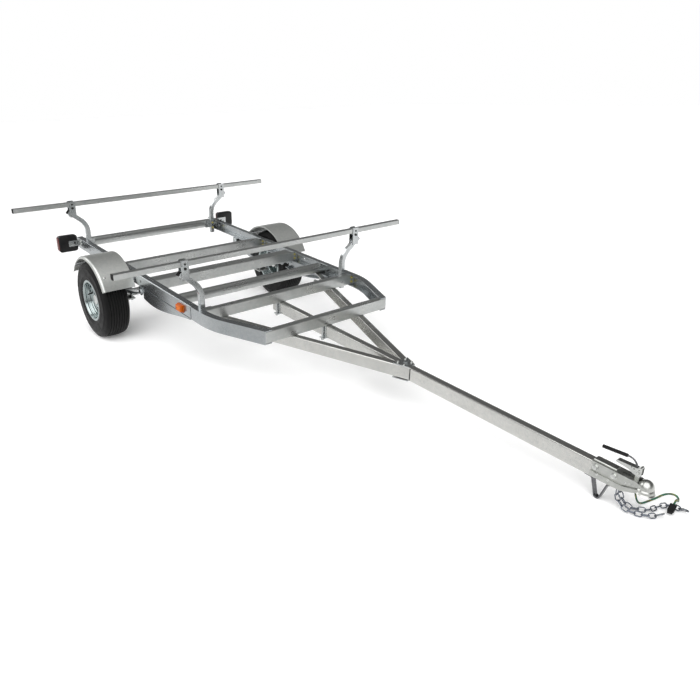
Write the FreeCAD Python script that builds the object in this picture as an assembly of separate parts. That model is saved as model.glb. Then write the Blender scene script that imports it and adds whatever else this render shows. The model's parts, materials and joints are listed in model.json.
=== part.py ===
import FreeCAD, Part
import math
import os

from FreeCAD import Placement, Rotation, Vector

os.makedirs("parts", exist_ok=True)

# Load-bar boat trailer, galvanised, parked nose-down on its wheels and its front foot strap.
# It is modelled level: x forward from the axle, y to the left, z up from the top of the side rails.
# The last step tips it about y until the wheels and the foot stand on z = 0, and centres its box.

# Clearances and overruns
touch_gap = 0.3
cut_overrun = 20.0
wheel_running_gap = 6.0

# Side rails, C channels with the open side inwards
rail_height = 76.0
rail_flange = 40.0
rail_wall = 5.0
rail_corner = 7.0
rail_half_width = 562.0
rail_tail_length = 89.0
rail_joint_x = 962.0
rail_joint_gap = 0.8
rail_hole_radius = 7.0
rail_hole_count = 6

# Front rails that bend inwards to the front crossmember
front_rail_bend_x = 1060.0
front_rail_bend_radius = 500.0
front_rail_end_x = 1490.0
front_rail_end_half_width = 425.0

# Crossmembers
cross_depth = 40.0
cross_wall = 4.0
cross_corner = 5.0
cross_wide_depth = 78.0
cross_axle_x = 0.0
cross_wide_x = 398.0
round_cross_radius = 33.0
round_cross_wall = 4.0
cross_mid_x = 736.0
end_plate_wall = 5.0
end_plate_width = 70.0

# Uprights and load bars
bar_length = 1981.0
bar_spacing = 1651.0
bar_side = 30.0
bar_wall = 3.0
bar_corner = 3.0
bar_centre_z = 263.0
upright_side = 30.0
upright_corner = 4.0
upright_wall = 3.0
upright_bottom_z = -102.0
upright_bend_z = 55.0
upright_bend_radius = 115.0
upright_bend_angle = 50.0
upright_tip_length = 108.0
upright_front_x = 990.0
upright_plate_wall = 5.0
upright_plate_width = 64.0
upright_plate_height = 60.0
saddle_wall = 4.0
saddle_width = 44.0
saddle_lip = 6.0
saddle_seat_wall = 4.0
saddle_corner = 6.0
saddle_reach = 93.3
saddle_foot_share = 0.45
cap_wall = 3.0

# Tongue and A-frame
tongue_height = 70.0
tongue_width = 40.0
tongue_wall = 4.0
tongue_corner = 6.0
tongue_rear_x = 975.0
tongue_front_x = 3188.0
diagonal_height = 66.0
diagonal_flange = 36.0
diagonal_wall = 4.0
diagonal_corner = 5.0
diagonal_rail_inset = 20.2
diagonal_tip_x = 2128.0
diagonal_rear_x = 702.0

# Tongue clamps below two crossmembers, and the plates of the A-frame joint
clamp_plate_wall = 6.0
clamp_plate_width = 34.0
clamp_side_wall = 4.0
clamp_bolt_radius = 4.5
clamp_nut_radius = 9.0
clamp_nut_height = 8.0
clamp_bolt_side_gap = 10.0
joint_plate_wall = 5.0
joint_plate_length = 78.0
joint_plate_half_width = 62.0
joint_plate_setback = 8.0
joint_bolt_radius = 6.0
joint_nut_height = 9.0

# Axle, springs and hangers
axle_drop = 217.0
axle_radius = 25.0
axle_wall = 5.0
axle_wheel_gap = 52.0
spindle_radius = 14.0
spindle_reach = 34.0
spring_inset = 24.0
spring_width = 45.0
spring_leaf = 7.0
spring_half_span = 317.0
spring_eye_drop = 102.0
spring_eye_radius = 15.0
spring_eye_bore = 8.0
spring_bolt_radius = 7.7
spring_leaf_shares = (1.0, 0.78, 0.52)
spring_seat_wall = 6.0
spring_seat_length = 90.0
hanger_wall = 5.0
hanger_half_length = 26.0
shackle_length = 46.0
shackle_wall = 6.0
ubolt_radius = 5.0
ubolt_spread = 62.0
tie_plate_wall = 8.0
tie_plate_length = 96.0
tie_plate_width = 90.0

# Gusset beam below the front half of each rail
gusset_rear_x = 346.0
gusset_front_x = 950.0
gusset_rear_depth = 66.0
gusset_deep_share = 0.20
gusset_deep_depth = 80.0
gusset_front_depth = 8.0
gusset_wall = 5.0
gusset_flange = 36.0

# Wheels
tyre_radius = 252.0
tyre_width = 174.0
wheel_outset = 130.0
tyre_facets = 56
tyre_wall_shares = ((0.36, 1.0), (0.76, 0.985), (0.93, 0.87), (1.0, 0.67))
rim_flange_radius = 134.5
rim_bead_slope = 14.0
rim_half_width = 82.0
rim_wall = 4.0
rim_seat_radius = 122.0
rim_well_radius = 96.0
rim_well_half_width = 30.0
rim_disc_offset = 12.0
rim_disc_wall = 5.0
rim_disc_dish = 16.0
rim_pilot_radius = 34.0
rim_face_radius = 86.0
hub_flange_radius = 66.0
hub_flange_wall = 10.0
hub_body_radius = 36.0
hub_inner_length = 44.0
hub_cap_radius = 31.0
hub_cap_length = 40.0
hub_bore_gap = 0.06
stud_circle_radius = 57.15
stud_count = 5
stud_radius = 6.0
stud_hole_gap = 0.8
nut_radius = 11.0
nut_height = 16.0

# Mudguards
guard_radius = 290.0
guard_rail_gap = 10.0
guard_width = 208.0
guard_wall = 2.5
guard_bead_radius = 5.0
guard_lip_radius = 17.0
guard_lip_room = 1.9
guard_end_angle = 27.0
guard_bracket_wall = 6.0
guard_bracket_span = 9.0
guard_bracket_lift = 45.0
guard_tab_wall = 5.0
guard_tab_side = 56.0
guard_tab_z = -33.0

# Lamps
lamp_depth = 32.0
lamp_width = 132.0
lamp_height = 118.0
lamp_lens_depth = 22.0
lamp_corner = 20.0
lamp_lens_inset = 3.0
lamp_outset = 86.0
lamp_z = -22.0
lamp_bracket_wall = 5.0
lamp_bracket_height = 42.0
lamp_bracket_reach = 86.0
lamp_bracket_setback = 21.0
marker_x = 847.0
marker_z = -42.0
marker_length = 72.0
marker_height = 45.0
marker_depth = 20.0
marker_corner = 9.0

# Coupler
coupler_x = 3298.0
coupler_z = -82.0
ball_radius = 25.6
socket_wall = 3.4
socket_depth = 22.0
collar_wall = 3.5
collar_top_drop = 8.0
collar_slope = 5.0
socket_flare = 4.0
socket_flare_height = 5.0
coupler_wall = 4.0
coupler_rear_x = 3096.0
coupler_neck_x = 3226.0
coupler_depth = 63.0
coupler_low_front_x = 3222.0
coupler_rise_x = 3284.0
coupler_slope_x = 3272.0
coupler_slope_drop = 12.0
coupler_skirt = 6.0
coupler_skirt_height = 22.0
coupler_rib_length = 94.0
coupler_rib_half_width = 15.0
coupler_rib_height = 5.0
latch_slot_half_width = 4.8
latch_slot_length = 54.0
clamp_block_length = 36.0
clamp_block_height = 18.0
clamp_block_half_width = 15.0
clamp_block_x = 3276.0
clamp_block_drop = 4.0
clamp_stem_radius = 4.0
ear_wall = 3.0
ear_side_gap = 0.6
ear_radius = 8.0
pivot_x = 3262.0
pivot_z = -38.0
pivot_radius = 4.0
pivot_bore_gap = 0.08
latch_wall = 2.5
latch_half_width = 11.0
latch_front = 12.0
latch_hump_top = 25.0
latch_hump_length = 9.0
latch_top = 18.0
latch_tail_top = 15.0
latch_rear = 86.0
latch_tail_bottom = 6.0
latch_cheek_rear = 36.0
latch_deep = 14.0
latch_deep_rear = 18.0
latch_deep_rear_bottom = 9.0
latch_corner = 5.0
handle_radius = 3.5
handle_bend_radius = 36.0
handle_setback = 11.0
handle_rise = 2.0
handle_lean = 20.0
handle_fall = 5.4
handle_length = 100.5
grip_radius = 7.0
grip_length = 97.0

# Front foot, a strap bent to a V
foot_width = 24.0
foot_wall = 6.0
foot_rear_x = 3101.0
foot_tip_x = 3134.5
foot_front_x = 3165.0
foot_corner_z = -251.0
foot_bend_radius = 14.0
foot_rear_pad = 30.0
foot_front_pad = 11.0

# Safety chains, hung on one bolt across the coupler's cheeks and laid on the ground
link_wire = 4.6
link_length = 34.5
link_width = 22.0
link_sink = 0.6
link_roll = 45.0
link_twist_steps = 4
chain_floor_gap = 2.5
link_corner_angles = (-90, -30, 30, 90)
chain_bolt_x = 3207.0
chain_bolt_z = -118.0
chain_bolt_radius = 4.0
chain_bolt_head = 5.0
chain_y = 12.5
chain_bend_share = 2.4
chain_bend_angles = (0.0, 22.5, 45.0, 67.5, 90.0)
chain_left_shares = ((3.01, 1.03), (3.88, 1.57), (4.42, 2.48), (4.67, 3.47), (4.96, 4.47),
                     (5.5, 5.38), (6.25, 5.83), (7.24, 5.79), (8.32, 5.46))
chain_right_shares = ((3.01, -0.33), (3.97, 0), (4.88, 0.5), (5.58, 1.24),
                      (5.92, 2.23), (6, 3.31), (6.04, 4.55))
chain_left_links = 13
chain_right_links = 9
hook_length = 42.0
hook_width = 30.0
hook_wire = 6.5
hook_mouth = 11.0

# Wiring harness, one bundled cord with a flat plug, in the parked frame
harness_diameter = 7.0
harness_route = (
    (1910.6, 37.5, 105.7), (1910.6, 37.5, 82.5), (1912.6, 41.0, 58.0), (1915.6, 48.0, 34.0), (1919.6, 61.0, 13.5),
    (1924.6, 82.0, 5.0), (1930.6, 106.0, 4.0), (1937.6, 132.0, 4.2), (1943.6, 158.0, 4.0), (1947.6, 183.0, 4.2),
    (1953.6, 207.0, 4.0), (1966.6, 226.0, 4.2), (1985.6, 230.0, 4.0), (2000.6, 216.0, 4.2), (2008.6, 197.0, 6.0),
    (2012.6, 177.0, 16.0), (2015.6, 158.0, 32.8), (2018.1, 140.0, 34.0), (2020.1, 124.0, 27.5))
harness_clip_width = 14.0
harness_clip_height = 12.0
harness_clip_reach = 12.0
plug_length = 30.0
plug_width = 24.0
plug_height = 13.0
plug_corner = 4.0
plug_nose_length = 10.0
plug_nose_share = 0.8

# Worked out sizes
cross_height = rail_height - 2 * rail_wall
cross_top_z = -rail_wall
cross_bottom_z = cross_top_z - cross_height
web_inner_y = rail_half_width - rail_wall
flange_inner_y = rail_half_width - rail_flange
upright_rear_x = upright_front_x - bar_spacing
rail_rear_x = upright_rear_x - rail_tail_length
cross_rear_x = upright_rear_x - upright_side / 2 - upright_plate_wall - touch_gap - round_cross_radius
lamp_bracket_x = upright_rear_x - lamp_bracket_setback
lamp_x = lamp_bracket_x
upright_y = flange_inner_y - touch_gap - upright_side / 2
cross_tongue_x = upright_front_x + upright_side / 2 + upright_plate_wall + cross_depth / 2
cross_front_x = front_rail_end_x - cross_depth / 2
tongue_top_z = cross_bottom_z
tongue_bottom_z = tongue_top_z - tongue_height
diagonal_slope = (rail_half_width - diagonal_rail_inset - tongue_width / 2) / (diagonal_tip_x - diagonal_rear_x)
diagonal_angle = math.degrees(math.atan(diagonal_slope))
saddle_half_track = upright_y + saddle_reach
spring_y = rail_half_width - spring_inset
spring_sag = axle_drop - axle_radius - spring_seat_wall - spring_leaf * len(spring_leaf_shares) - spring_eye_drop
spring_arc_radius = (spring_half_span ** 2 + spring_sag ** 2) / (2 * spring_sag)
wheel_y = rail_half_width + wheel_outset
axle_half_length = wheel_y - axle_wheel_gap
spindle_half_length = wheel_y + spindle_reach
guard_inner_y = rail_half_width + guard_rail_gap
guard_outer_y = guard_inner_y + guard_width
lamp_y = rail_half_width + lamp_outset
coupler_top_in = tongue_top_z + touch_gap
coupler_top_out = coupler_top_in + coupler_wall
saddle_top_z = bar_centre_z + bar_side / 2 + saddle_lip


def solid_box(x0, x1, y0, y1, z0, z1):
    return Part.makeBox(x1 - x0, y1 - y0, z1 - z0, Vector(x0, y0, z0))


def cylinder_between(start, end, radius):
    axis = end - start
    return Part.makeCylinder(radius, axis.Length, start, axis)


def rounded_rectangle(width, height, radius):
    """A wire in the YZ plane, centred, with its corners as arcs."""
    half_w = width / 2
    half_h = height / 2
    lean = radius * (1 - math.sqrt(0.5))
    edges = []
    corners = ((1, 1), (-1, 1), (-1, -1), (1, -1))
    starts = []
    ends = []
    for side_y, side_z in corners:
        on_top = Vector(0, side_y * (half_w - radius), side_z * half_h)
        on_side = Vector(0, side_y * half_w, side_z * (half_h - radius))
        middle = Vector(0, side_y * (half_w - lean), side_z * (half_h - lean))
        first, last = (on_side, on_top) if side_y * side_z > 0 else (on_top, on_side)
        edges.append(Part.Arc(first, middle, last).toShape())
        starts.append(first)
        ends.append(last)
    for index in range(len(corners)):
        following = starts[(index + 1) % len(corners)]
        edges.append(Part.makeLine(ends[index], following))
    return Part.Wire(Part.__sortEdges__(edges))


def tube_along_x(x0, x1, centre_y, centre_z, width, height, wall, corner):
    """A rectangular tube along x, open at both ends."""
    outer = Part.Face(rounded_rectangle(width, height, corner))
    inner = Part.Face(rounded_rectangle(width - 2 * wall, height - 2 * wall, max(corner - wall, wall / 4)))
    section = outer.cut(inner)
    section.translate(Vector(x0, centre_y, centre_z))
    return section.extrude(Vector(x1 - x0, 0, 0))


def tube_along_y(y0, y1, centre_x, centre_z, width, height, wall, corner):
    """A rectangular tube along y, open at both ends."""
    tube = tube_along_x(0, y1 - y0, 0, 0, width, height, wall, corner)
    tube.rotate(Vector(0, 0, 0), Vector(0, 0, 1), 90)
    tube.translate(Vector(centre_x, y0, centre_z))
    return tube


def channel_section(height, flange, wall, corner):
    """A C section in the YZ plane: web from y = 0 inwards, open towards -y, top at z = 0."""
    outer = Part.Face(rounded_rectangle(2 * flange, height, corner))
    inner = Part.Face(rounded_rectangle(2 * flange - 2 * wall, height - 2 * wall, corner - wall))
    ring = outer.cut(inner)
    ring.translate(Vector(0, -flange, -height / 2))
    open_side = Part.makeBox(2 * height, flange, 2 * height, Vector(-height, -2 * flange, -1.5 * height))
    return ring.cut(open_side)


def mirror_side(shape):
    return shape.mirror(Vector(0, 0, 0), Vector(0, 1, 0))


def polygon_prism(points, direction):
    return Part.Face(Part.makePolygon(points + [points[0]])).extrude(direction)


def fused(shapes):
    first = shapes[0]
    return first.fuse(shapes[1:]).removeSplitter() if len(shapes) > 1 else first


def revolved_about_y(points, centre_x, centre_z, angle=360):
    """Turns a closed outline of (radius, y) points about the line along y."""
    wire = Part.makePolygon([Vector(0, y, radius) for radius, y in points + [points[0]]])
    body = Part.Face(wire).revolve(Vector(0, 0, 0), Vector(0, 1, 0), angle)
    body.translate(Vector(centre_x, 0, centre_z))
    return body


def bend_angle():
    """The turn of the front rail, from its bend's centre to its front end."""
    centre_x = front_rail_bend_x
    centre_y = rail_half_width - front_rail_bend_radius
    dx = front_rail_end_x - centre_x
    dy = front_rail_end_half_width - centre_y
    reach = math.hypot(dx, dy)
    return math.pi / 2 - math.atan2(dy, dx) - math.acos(front_rail_bend_radius / reach)


def front_rail_offset(inset):
    """Plan points of the front rail's line, moved inwards by inset: start, bend, arc middle, arc end, end."""
    turn = bend_angle()
    radius = front_rail_bend_radius - inset
    centre = Vector(front_rail_bend_x, rail_half_width - front_rail_bend_radius, 0)
    start = Vector(rail_joint_x + rail_joint_gap, rail_half_width - inset, 0)
    bend = centre + Vector(0, radius, 0)
    middle = centre + Vector(math.sin(turn / 2), math.cos(turn / 2), 0) * radius
    bent = centre + Vector(math.sin(turn), math.cos(turn), 0) * radius
    run = (front_rail_end_x + cross_depth - bent.x) / math.cos(turn)
    end = bent + Vector(math.cos(turn), -math.sin(turn), 0) * run
    return start, bend, middle, bent, end


def front_rail_strip(inset_outer, inset_inner, z0, z1):
    """The plan strip between two offsets of the front rail's line, from z0 to z1."""
    a0, a1, am, a2, a3 = front_rail_offset(inset_outer)
    b0, b1, bm, b2, b3 = front_rail_offset(inset_inner)
    edges = [
        Part.makeLine(a0, a1), Part.Arc(a1, am, a2).toShape(), Part.makeLine(a2, a3), Part.makeLine(a3, b3),
        Part.makeLine(b3, b2), Part.Arc(b2, bm, b1).toShape(), Part.makeLine(b1, b0), Part.makeLine(b0, a0),
    ]
    face = Part.Face(Part.Wire(edges))
    face.translate(Vector(0, 0, z0))
    return face.extrude(Vector(0, 0, z1 - z0))


def side_rail():
    section = channel_section(rail_height, rail_flange, rail_wall, rail_corner)
    section.translate(Vector(rail_rear_x, rail_half_width, 0))
    rail = section.extrude(Vector(rail_joint_x - rail_rear_x, 0, 0))
    pitch = (cross_mid_x - cross_rear_x) / (rail_hole_count + 1)
    for index in range(rail_hole_count):
        centre = Vector(cross_rear_x + pitch * (index + 1), rail_half_width + cut_overrun, -rail_height / 2)
        rail = rail.cut(Part.makeCylinder(rail_hole_radius, 2 * cut_overrun, centre, Vector(0, -1, 0)))
    return rail


def front_rail():
    body = front_rail_strip(0, rail_flange, -rail_height, 0)
    hollow = front_rail_strip(rail_wall, rail_flange + cut_overrun, -rail_height + rail_wall, -rail_wall)
    beyond = solid_box(front_rail_end_x, front_rail_end_x + cut_overrun * 4, 0, rail_half_width,
                       -rail_height - cut_overrun, cut_overrun)
    return body.cut(hollow).cut(beyond)


def square_crossmember(centre_x, depth):
    """A rectangular tube between the rail webs with welded end plates."""
    inner_y = web_inner_y - end_plate_wall
    centre_z = cross_top_z - cross_height / 2
    tube = tube_along_y(-inner_y, inner_y, centre_x, centre_z, depth, cross_height, cross_wall, cross_corner)
    return fused([tube] + end_plates(centre_x, max(depth, end_plate_width)))


def end_plates(centre_x, width):
    """The two plates against the rail webs, clear of the rounding between web and flanges."""
    inset = rail_corner - rail_wall + touch_gap
    inner_y = web_inner_y - end_plate_wall
    plates = []
    for side in (-1, 1):
        y0, y1 = sorted((side * inner_y, side * web_inner_y))
        plates.append(solid_box(centre_x - width / 2, centre_x + width / 2, y0, y1, cross_bottom_z + inset,
                                cross_top_z - inset))
    return plates


def round_crossmember(centre_x):
    inner_y = web_inner_y - end_plate_wall
    centre_z = cross_top_z - cross_height / 2
    start = Vector(centre_x, -inner_y, centre_z)
    tube = Part.makeCylinder(round_cross_radius, 2 * inner_y, start, Vector(0, 1, 0))
    bore = Part.makeCylinder(round_cross_radius - round_cross_wall, 2 * inner_y, start, Vector(0, 1, 0))
    return fused([tube.cut(bore)] + end_plates(centre_x, end_plate_width))


def tongue_crossmember():
    """The tube behind the uprights' plates, plain ended inside the front rails."""
    centre_z = cross_top_z - cross_height / 2
    return tube_along_y(-web_inner_y, web_inner_y, cross_tongue_x, centre_z, cross_depth, cross_height,
                        cross_wall, cross_corner)


def front_crossmember():
    """The front tube, its ends cut along the bent rails' webs."""
    centre_z = cross_top_z - cross_height / 2
    tube = tube_along_y(-web_inner_y, web_inner_y, cross_front_x, centre_z, cross_depth, cross_height,
                        cross_wall, cross_corner)
    outside = front_rail_strip(-rail_half_width / 2, rail_wall, -rail_height - cut_overrun, cut_overrun)
    return tube.cut(outside).cut(mirror_side(outside))


def tongue():
    beam = tube_along_x(tongue_rear_x, tongue_front_x, 0, tongue_bottom_z + tongue_height / 2, tongue_width,
                        tongue_height, tongue_wall, tongue_corner)
    return beam


def diagonal():
    """A C channel from under the middle crossmember to the side of the tongue."""
    tip_y = tongue_width / 2
    section = channel_section(diagonal_height, diagonal_flange, diagonal_wall, diagonal_corner)
    length = (diagonal_tip_x - diagonal_rear_x) / math.cos(math.radians(diagonal_angle)) + diagonal_flange
    rail = section.extrude(Vector(-length, 0, 0))
    rail.rotate(Vector(0, 0, 0), Vector(0, 0, 1), -diagonal_angle)
    rail.translate(Vector(diagonal_tip_x, tip_y, tongue_top_z))
    low = tongue_bottom_z - cut_overrun
    keep_y = flange_inner_y - touch_gap
    keep = solid_box(diagonal_rear_x, diagonal_tip_x, tip_y, keep_y, low, cut_overrun)
    return rail.common(keep)


def hex_nut(centre, radius, height, direction=Vector(0, 0, 1)):
    corners = []
    for index in range(6):
        angle = math.radians(60 * index)
        corners.append(Vector(radius * math.cos(angle), radius * math.sin(angle), 0))
    nut = Part.Face(Part.makePolygon(corners + [corners[0]])).extrude(Vector(0, 0, height))
    nut.Placement = Placement(centre, Rotation(Vector(0, 0, 1), direction))
    return nut


def tongue_clamp(centre_x):
    """A plate under the tongue, hung from the crossmember by a strap and a bolt on each side."""
    plate_z1 = tongue_bottom_z
    plate_z0 = plate_z1 - clamp_plate_wall
    bolt_y = tongue_width / 2 + clamp_bolt_side_gap
    reach_y = bolt_y + clamp_nut_radius
    parts = [solid_box(centre_x - clamp_plate_width / 2, centre_x + clamp_plate_width / 2, -reach_y, reach_y,
                       plate_z0, plate_z1)]
    for side in (-1, 1):
        foot = Vector(centre_x, side * bolt_y, plate_z0 - clamp_nut_height)
        parts.append(cylinder_between(foot, Vector(foot.x, foot.y, cross_bottom_z), clamp_bolt_radius))
        parts.append(hex_nut(foot, clamp_nut_radius, clamp_nut_height))
        y0, y1 = sorted((side * tongue_width / 2, side * (tongue_width / 2 + clamp_side_wall)))
        parts.append(solid_box(centre_x - clamp_plate_width / 2, centre_x + clamp_plate_width / 2, y0, y1,
                               plate_z1, cross_bottom_z))
    return fused(parts)


def joint_plates():
    """Top and bottom plates that tie the tongue and both diagonals, with their through bolts."""
    front_x = diagonal_tip_x - joint_plate_setback
    rear_x = front_x - joint_plate_length
    solids = []
    for z0 in (tongue_top_z, tongue_bottom_z - joint_plate_wall):
        front_y = tongue_width / 2 + joint_plate_setback * diagonal_slope
        rear_y = front_y + joint_plate_length * diagonal_slope
        outline = [Vector(front_x, -front_y, z0), Vector(rear_x, -rear_y, z0), Vector(rear_x, rear_y, z0),
                   Vector(front_x, front_y, z0)]
        solids.append(polygon_prism(outline, Vector(0, 0, joint_plate_wall)))
    top = solids[0]
    head = Vector((front_x + rear_x) / 2, 0, tongue_top_z + joint_plate_wall)
    top = fused([top, hex_nut(head, 2 * joint_bolt_radius, joint_nut_height)])
    tail = Vector(head.x, 0, tongue_bottom_z - joint_plate_wall - joint_nut_height)
    bottom = fused([solids[1], hex_nut(tail, 2 * joint_bolt_radius, joint_nut_height)])
    return Part.makeCompound([top, bottom])


def axle():
    centre = Vector(0, -axle_half_length, -axle_drop)
    tube = Part.makeCylinder(axle_radius, 2 * axle_half_length, centre, Vector(0, 1, 0))
    bore = Part.makeCylinder(axle_radius - axle_wall, 2 * axle_half_length, centre, Vector(0, 1, 0))
    parts = [tube.cut(bore)]
    for side in (-1, 1):
        start = Vector(0, side * (axle_half_length - 2 * axle_radius), -axle_drop)
        end = Vector(0, side * spindle_half_length, -axle_drop)
        plug = Vector(0, side * axle_half_length, -axle_drop)
        parts.append(cylinder_between(start, plug, axle_radius - axle_wall / 2))
        parts.append(cylinder_between(start, end, spindle_radius))
        seat_y0 = side * spring_y - spring_width / 2
        top_z = -axle_drop + axle_radius + spring_seat_wall
        seat = solid_box(-spring_seat_length / 2, spring_seat_length / 2, seat_y0, seat_y0 + spring_width,
                         top_z - 3 * spring_seat_wall, top_z)
        hole = Part.makeCylinder(axle_radius - axle_wall / 2, spring_width, Vector(0, seat_y0, -axle_drop),
                                 Vector(0, 1, 0))
        parts.append(seat.cut(hole))
    return fused(parts)


def spring_arc_top(sag, half_span, thickness, end_z, width):
    """A bent leaf: an arc through both ends and the sag in the middle, as a solid."""
    def arc(offset):
        left = Vector(-half_span, 0, end_z - offset)
        right = Vector(half_span, 0, end_z - offset)
        return left, Vector(0, 0, end_z - sag - offset), right
    a0, am, a1 = arc(0)
    b0, bm, b1 = arc(thickness)
    wire = Part.Wire([Part.Arc(a0, am, a1).toShape(), Part.makeLine(a1, b1),
                      Part.Arc(b1, bm, b0).toShape(), Part.makeLine(b0, a0)])
    leaf = Part.Face(wire).extrude(Vector(0, width, 0))
    leaf.translate(Vector(0, spring_y - width / 2, 0))
    return leaf


def leaf_spring():
    """Three leaves with an eye at each end, seated on the axle."""
    seat_z = -axle_drop + axle_radius + spring_seat_wall
    stack = spring_leaf * len(spring_leaf_shares)
    main_top = seat_z + stack
    eye_z = -spring_eye_drop
    parts = []
    for index, share in enumerate(spring_leaf_shares):
        drop = index * spring_leaf
        leaf_sag = spring_sag * share ** 2
        parts.append(spring_arc_top(leaf_sag, spring_half_span * share, spring_leaf, main_top + leaf_sag - drop,
                                    spring_width))
    for side in (-1, 1):
        start = Vector(side * spring_half_span, spring_y - spring_width / 2, eye_z)
        parts.append(Part.makeCylinder(spring_eye_radius, spring_width, start, Vector(0, 1, 0)))
    body = fused(parts)
    for side in (-1, 1):
        start = Vector(side * spring_half_span, spring_y - spring_width / 2, eye_z)
        body = body.cut(Part.makeCylinder(spring_eye_bore, spring_width, start, Vector(0, 1, 0)))
    return body


def axle_clamp():
    """The tie plate under the axle and the two U-bolts over the spring."""
    plate_z1 = -axle_drop - axle_radius
    plate_z0 = plate_z1 - tie_plate_wall
    top_z = -axle_drop + axle_radius + spring_seat_wall + spring_leaf * len(spring_leaf_shares)
    parts = [solid_box(-tie_plate_length / 2, tie_plate_length / 2, spring_y - tie_plate_width / 2,
                       spring_y + tie_plate_width / 2, plate_z0, plate_z1)]
    leg_y = spring_width / 2 + ubolt_radius + touch_gap
    leaf_rise = (ubolt_spread / 2 + ubolt_radius) ** 2 / (2 * spring_arc_radius)
    bar_z = top_z + leaf_rise + ubolt_radius + touch_gap
    for side_x in (-1, 1):
        x = side_x * ubolt_spread / 2
        for side_y in (-1, 1):
            foot = Vector(x, spring_y + side_y * leg_y, plate_z0 - clamp_nut_height)
            parts.append(cylinder_between(foot, Vector(foot.x, foot.y, bar_z), ubolt_radius))
            parts.append(hex_nut(foot, clamp_nut_radius, clamp_nut_height))
        start = Vector(x, spring_y - leg_y, bar_z)
        end = Vector(x, spring_y + leg_y, bar_z)
        parts.append(cylinder_between(start, end, ubolt_radius))
        for tip in (start, end):
            parts.append(Part.makeSphere(ubolt_radius, tip))
    return fused(parts)


def eye_plates(eye_x, eye_z, top_z, y_gap, wall, half_length):
    """Two cheeks beside a spring eye, from its bolt up to top_z."""
    cheeks = []
    for side in (-1, 1):
        y0, y1 = sorted((spring_y + side * y_gap, spring_y + side * (y_gap + wall)))
        plate = solid_box(eye_x - half_length, eye_x + half_length, y0, y1, eye_z, top_z)
        round_end = Part.makeCylinder(half_length, y1 - y0, Vector(eye_x, y0, eye_z), Vector(0, 1, 0))
        cheeks.append(plate.fuse(round_end))
    return cheeks


def eye_bolt(eye_x, eye_z, reach):
    start = Vector(eye_x, spring_y - reach, eye_z)
    end = Vector(eye_x, spring_y + reach, eye_z)
    head = hex_nut(end, 2 * spring_bolt_radius, spring_bolt_radius, Vector(0, 1, 0))
    nut = hex_nut(start - Vector(0, spring_bolt_radius, 0), 2 * spring_bolt_radius, spring_bolt_radius,
                  Vector(0, 1, 0))
    return [cylinder_between(start, end, spring_bolt_radius), head, nut]


def gusset():
    """The deep curved beam under the front of the rail, with the spring's front hanger."""
    length = gusset_front_x - gusset_rear_x
    top_z = -rail_height
    deep_x = gusset_rear_x + length * gusset_deep_share
    rear = Vector(gusset_rear_x, 0, top_z - gusset_rear_depth)
    deep = Vector(deep_x, 0, top_z - gusset_deep_depth)
    front = Vector(gusset_front_x, 0, top_z - gusset_front_depth)
    curve = Part.BSplineCurve()
    curve.interpolate([rear, deep, (deep + front) * 0.5 + Vector(0, 0, -gusset_front_depth), front])
    edges = [Part.makeLine(Vector(gusset_rear_x, 0, top_z), rear), curve.toShape(),
             Part.makeLine(front, Vector(gusset_front_x, 0, top_z)),
             Part.makeLine(Vector(gusset_front_x, 0, top_z), Vector(gusset_rear_x, 0, top_z))]
    side_face = Part.Face(Part.Wire(edges))
    side_face.translate(Vector(0, rail_half_width - gusset_wall, 0))
    web = side_face.extrude(Vector(0, gusset_wall, 0))
    full = side_face.extrude(Vector(0, -(gusset_flange - gusset_wall), 0))
    lifted = full.copy()
    lifted.translate(Vector(0, 0, gusset_wall))
    bottom_flange = full.cut(lifted)
    eye_z = -spring_eye_drop
    gap = spring_width / 2 + touch_gap
    cheeks = eye_plates(spring_half_span, eye_z, top_z, gap, hanger_wall, hanger_half_length)
    roof_y0 = spring_y - gap - hanger_wall
    roof_x1 = max(gusset_rear_x, spring_half_span) + hanger_half_length
    roof = solid_box(spring_half_span - hanger_half_length, roof_x1, roof_y0, rail_half_width,
                     top_z - hanger_wall, top_z)
    bolt = eye_bolt(spring_half_span, eye_z, gap + hanger_wall)
    return fused([web, bottom_flange, roof] + cheeks + bolt)


def rear_hanger():
    """The frame bracket and the shackle that carry the spring's rear eye."""
    top_z = -rail_height
    gap = spring_width / 2 + touch_gap
    cheeks = eye_plates(-spring_half_span, -spring_eye_drop, top_z, gap, shackle_wall, hanger_half_length)
    roof = solid_box(-spring_half_span - hanger_half_length, -spring_half_span + hanger_half_length,
                     spring_y - gap - shackle_wall, spring_y + gap + shackle_wall, top_z - hanger_wall, top_z)
    bolt = eye_bolt(-spring_half_span, -spring_eye_drop, gap + shackle_wall)
    return fused([roof] + cheeks + bolt)


def faceted_ring(outline, count):
    """A ring about the line along y with flat faces, from a closed outline of (radius, y) points.

    The flats lie at the outline's radii, one of them at the bottom, so the edges between them stand out."""
    stretch = 1 / math.cos(math.pi / count)
    rows = []
    for index in range(count):
        angle = 2 * math.pi * (index + 0.5) / count
        rows.append([Vector(radius * stretch * math.sin(angle), y, -radius * stretch * math.cos(angle))
                     for radius, y in outline])
    faces = []
    for index in range(count):
        here = rows[index]
        there = rows[(index + 1) % count]
        for place in range(len(outline)):
            after = (place + 1) % len(outline)
            corners = [here[place], here[after], there[after], there[place], here[place]]
            faces.append(Part.Face(Part.makePolygon(corners)))
    return Part.Solid(Part.Shell(faces))


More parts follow.
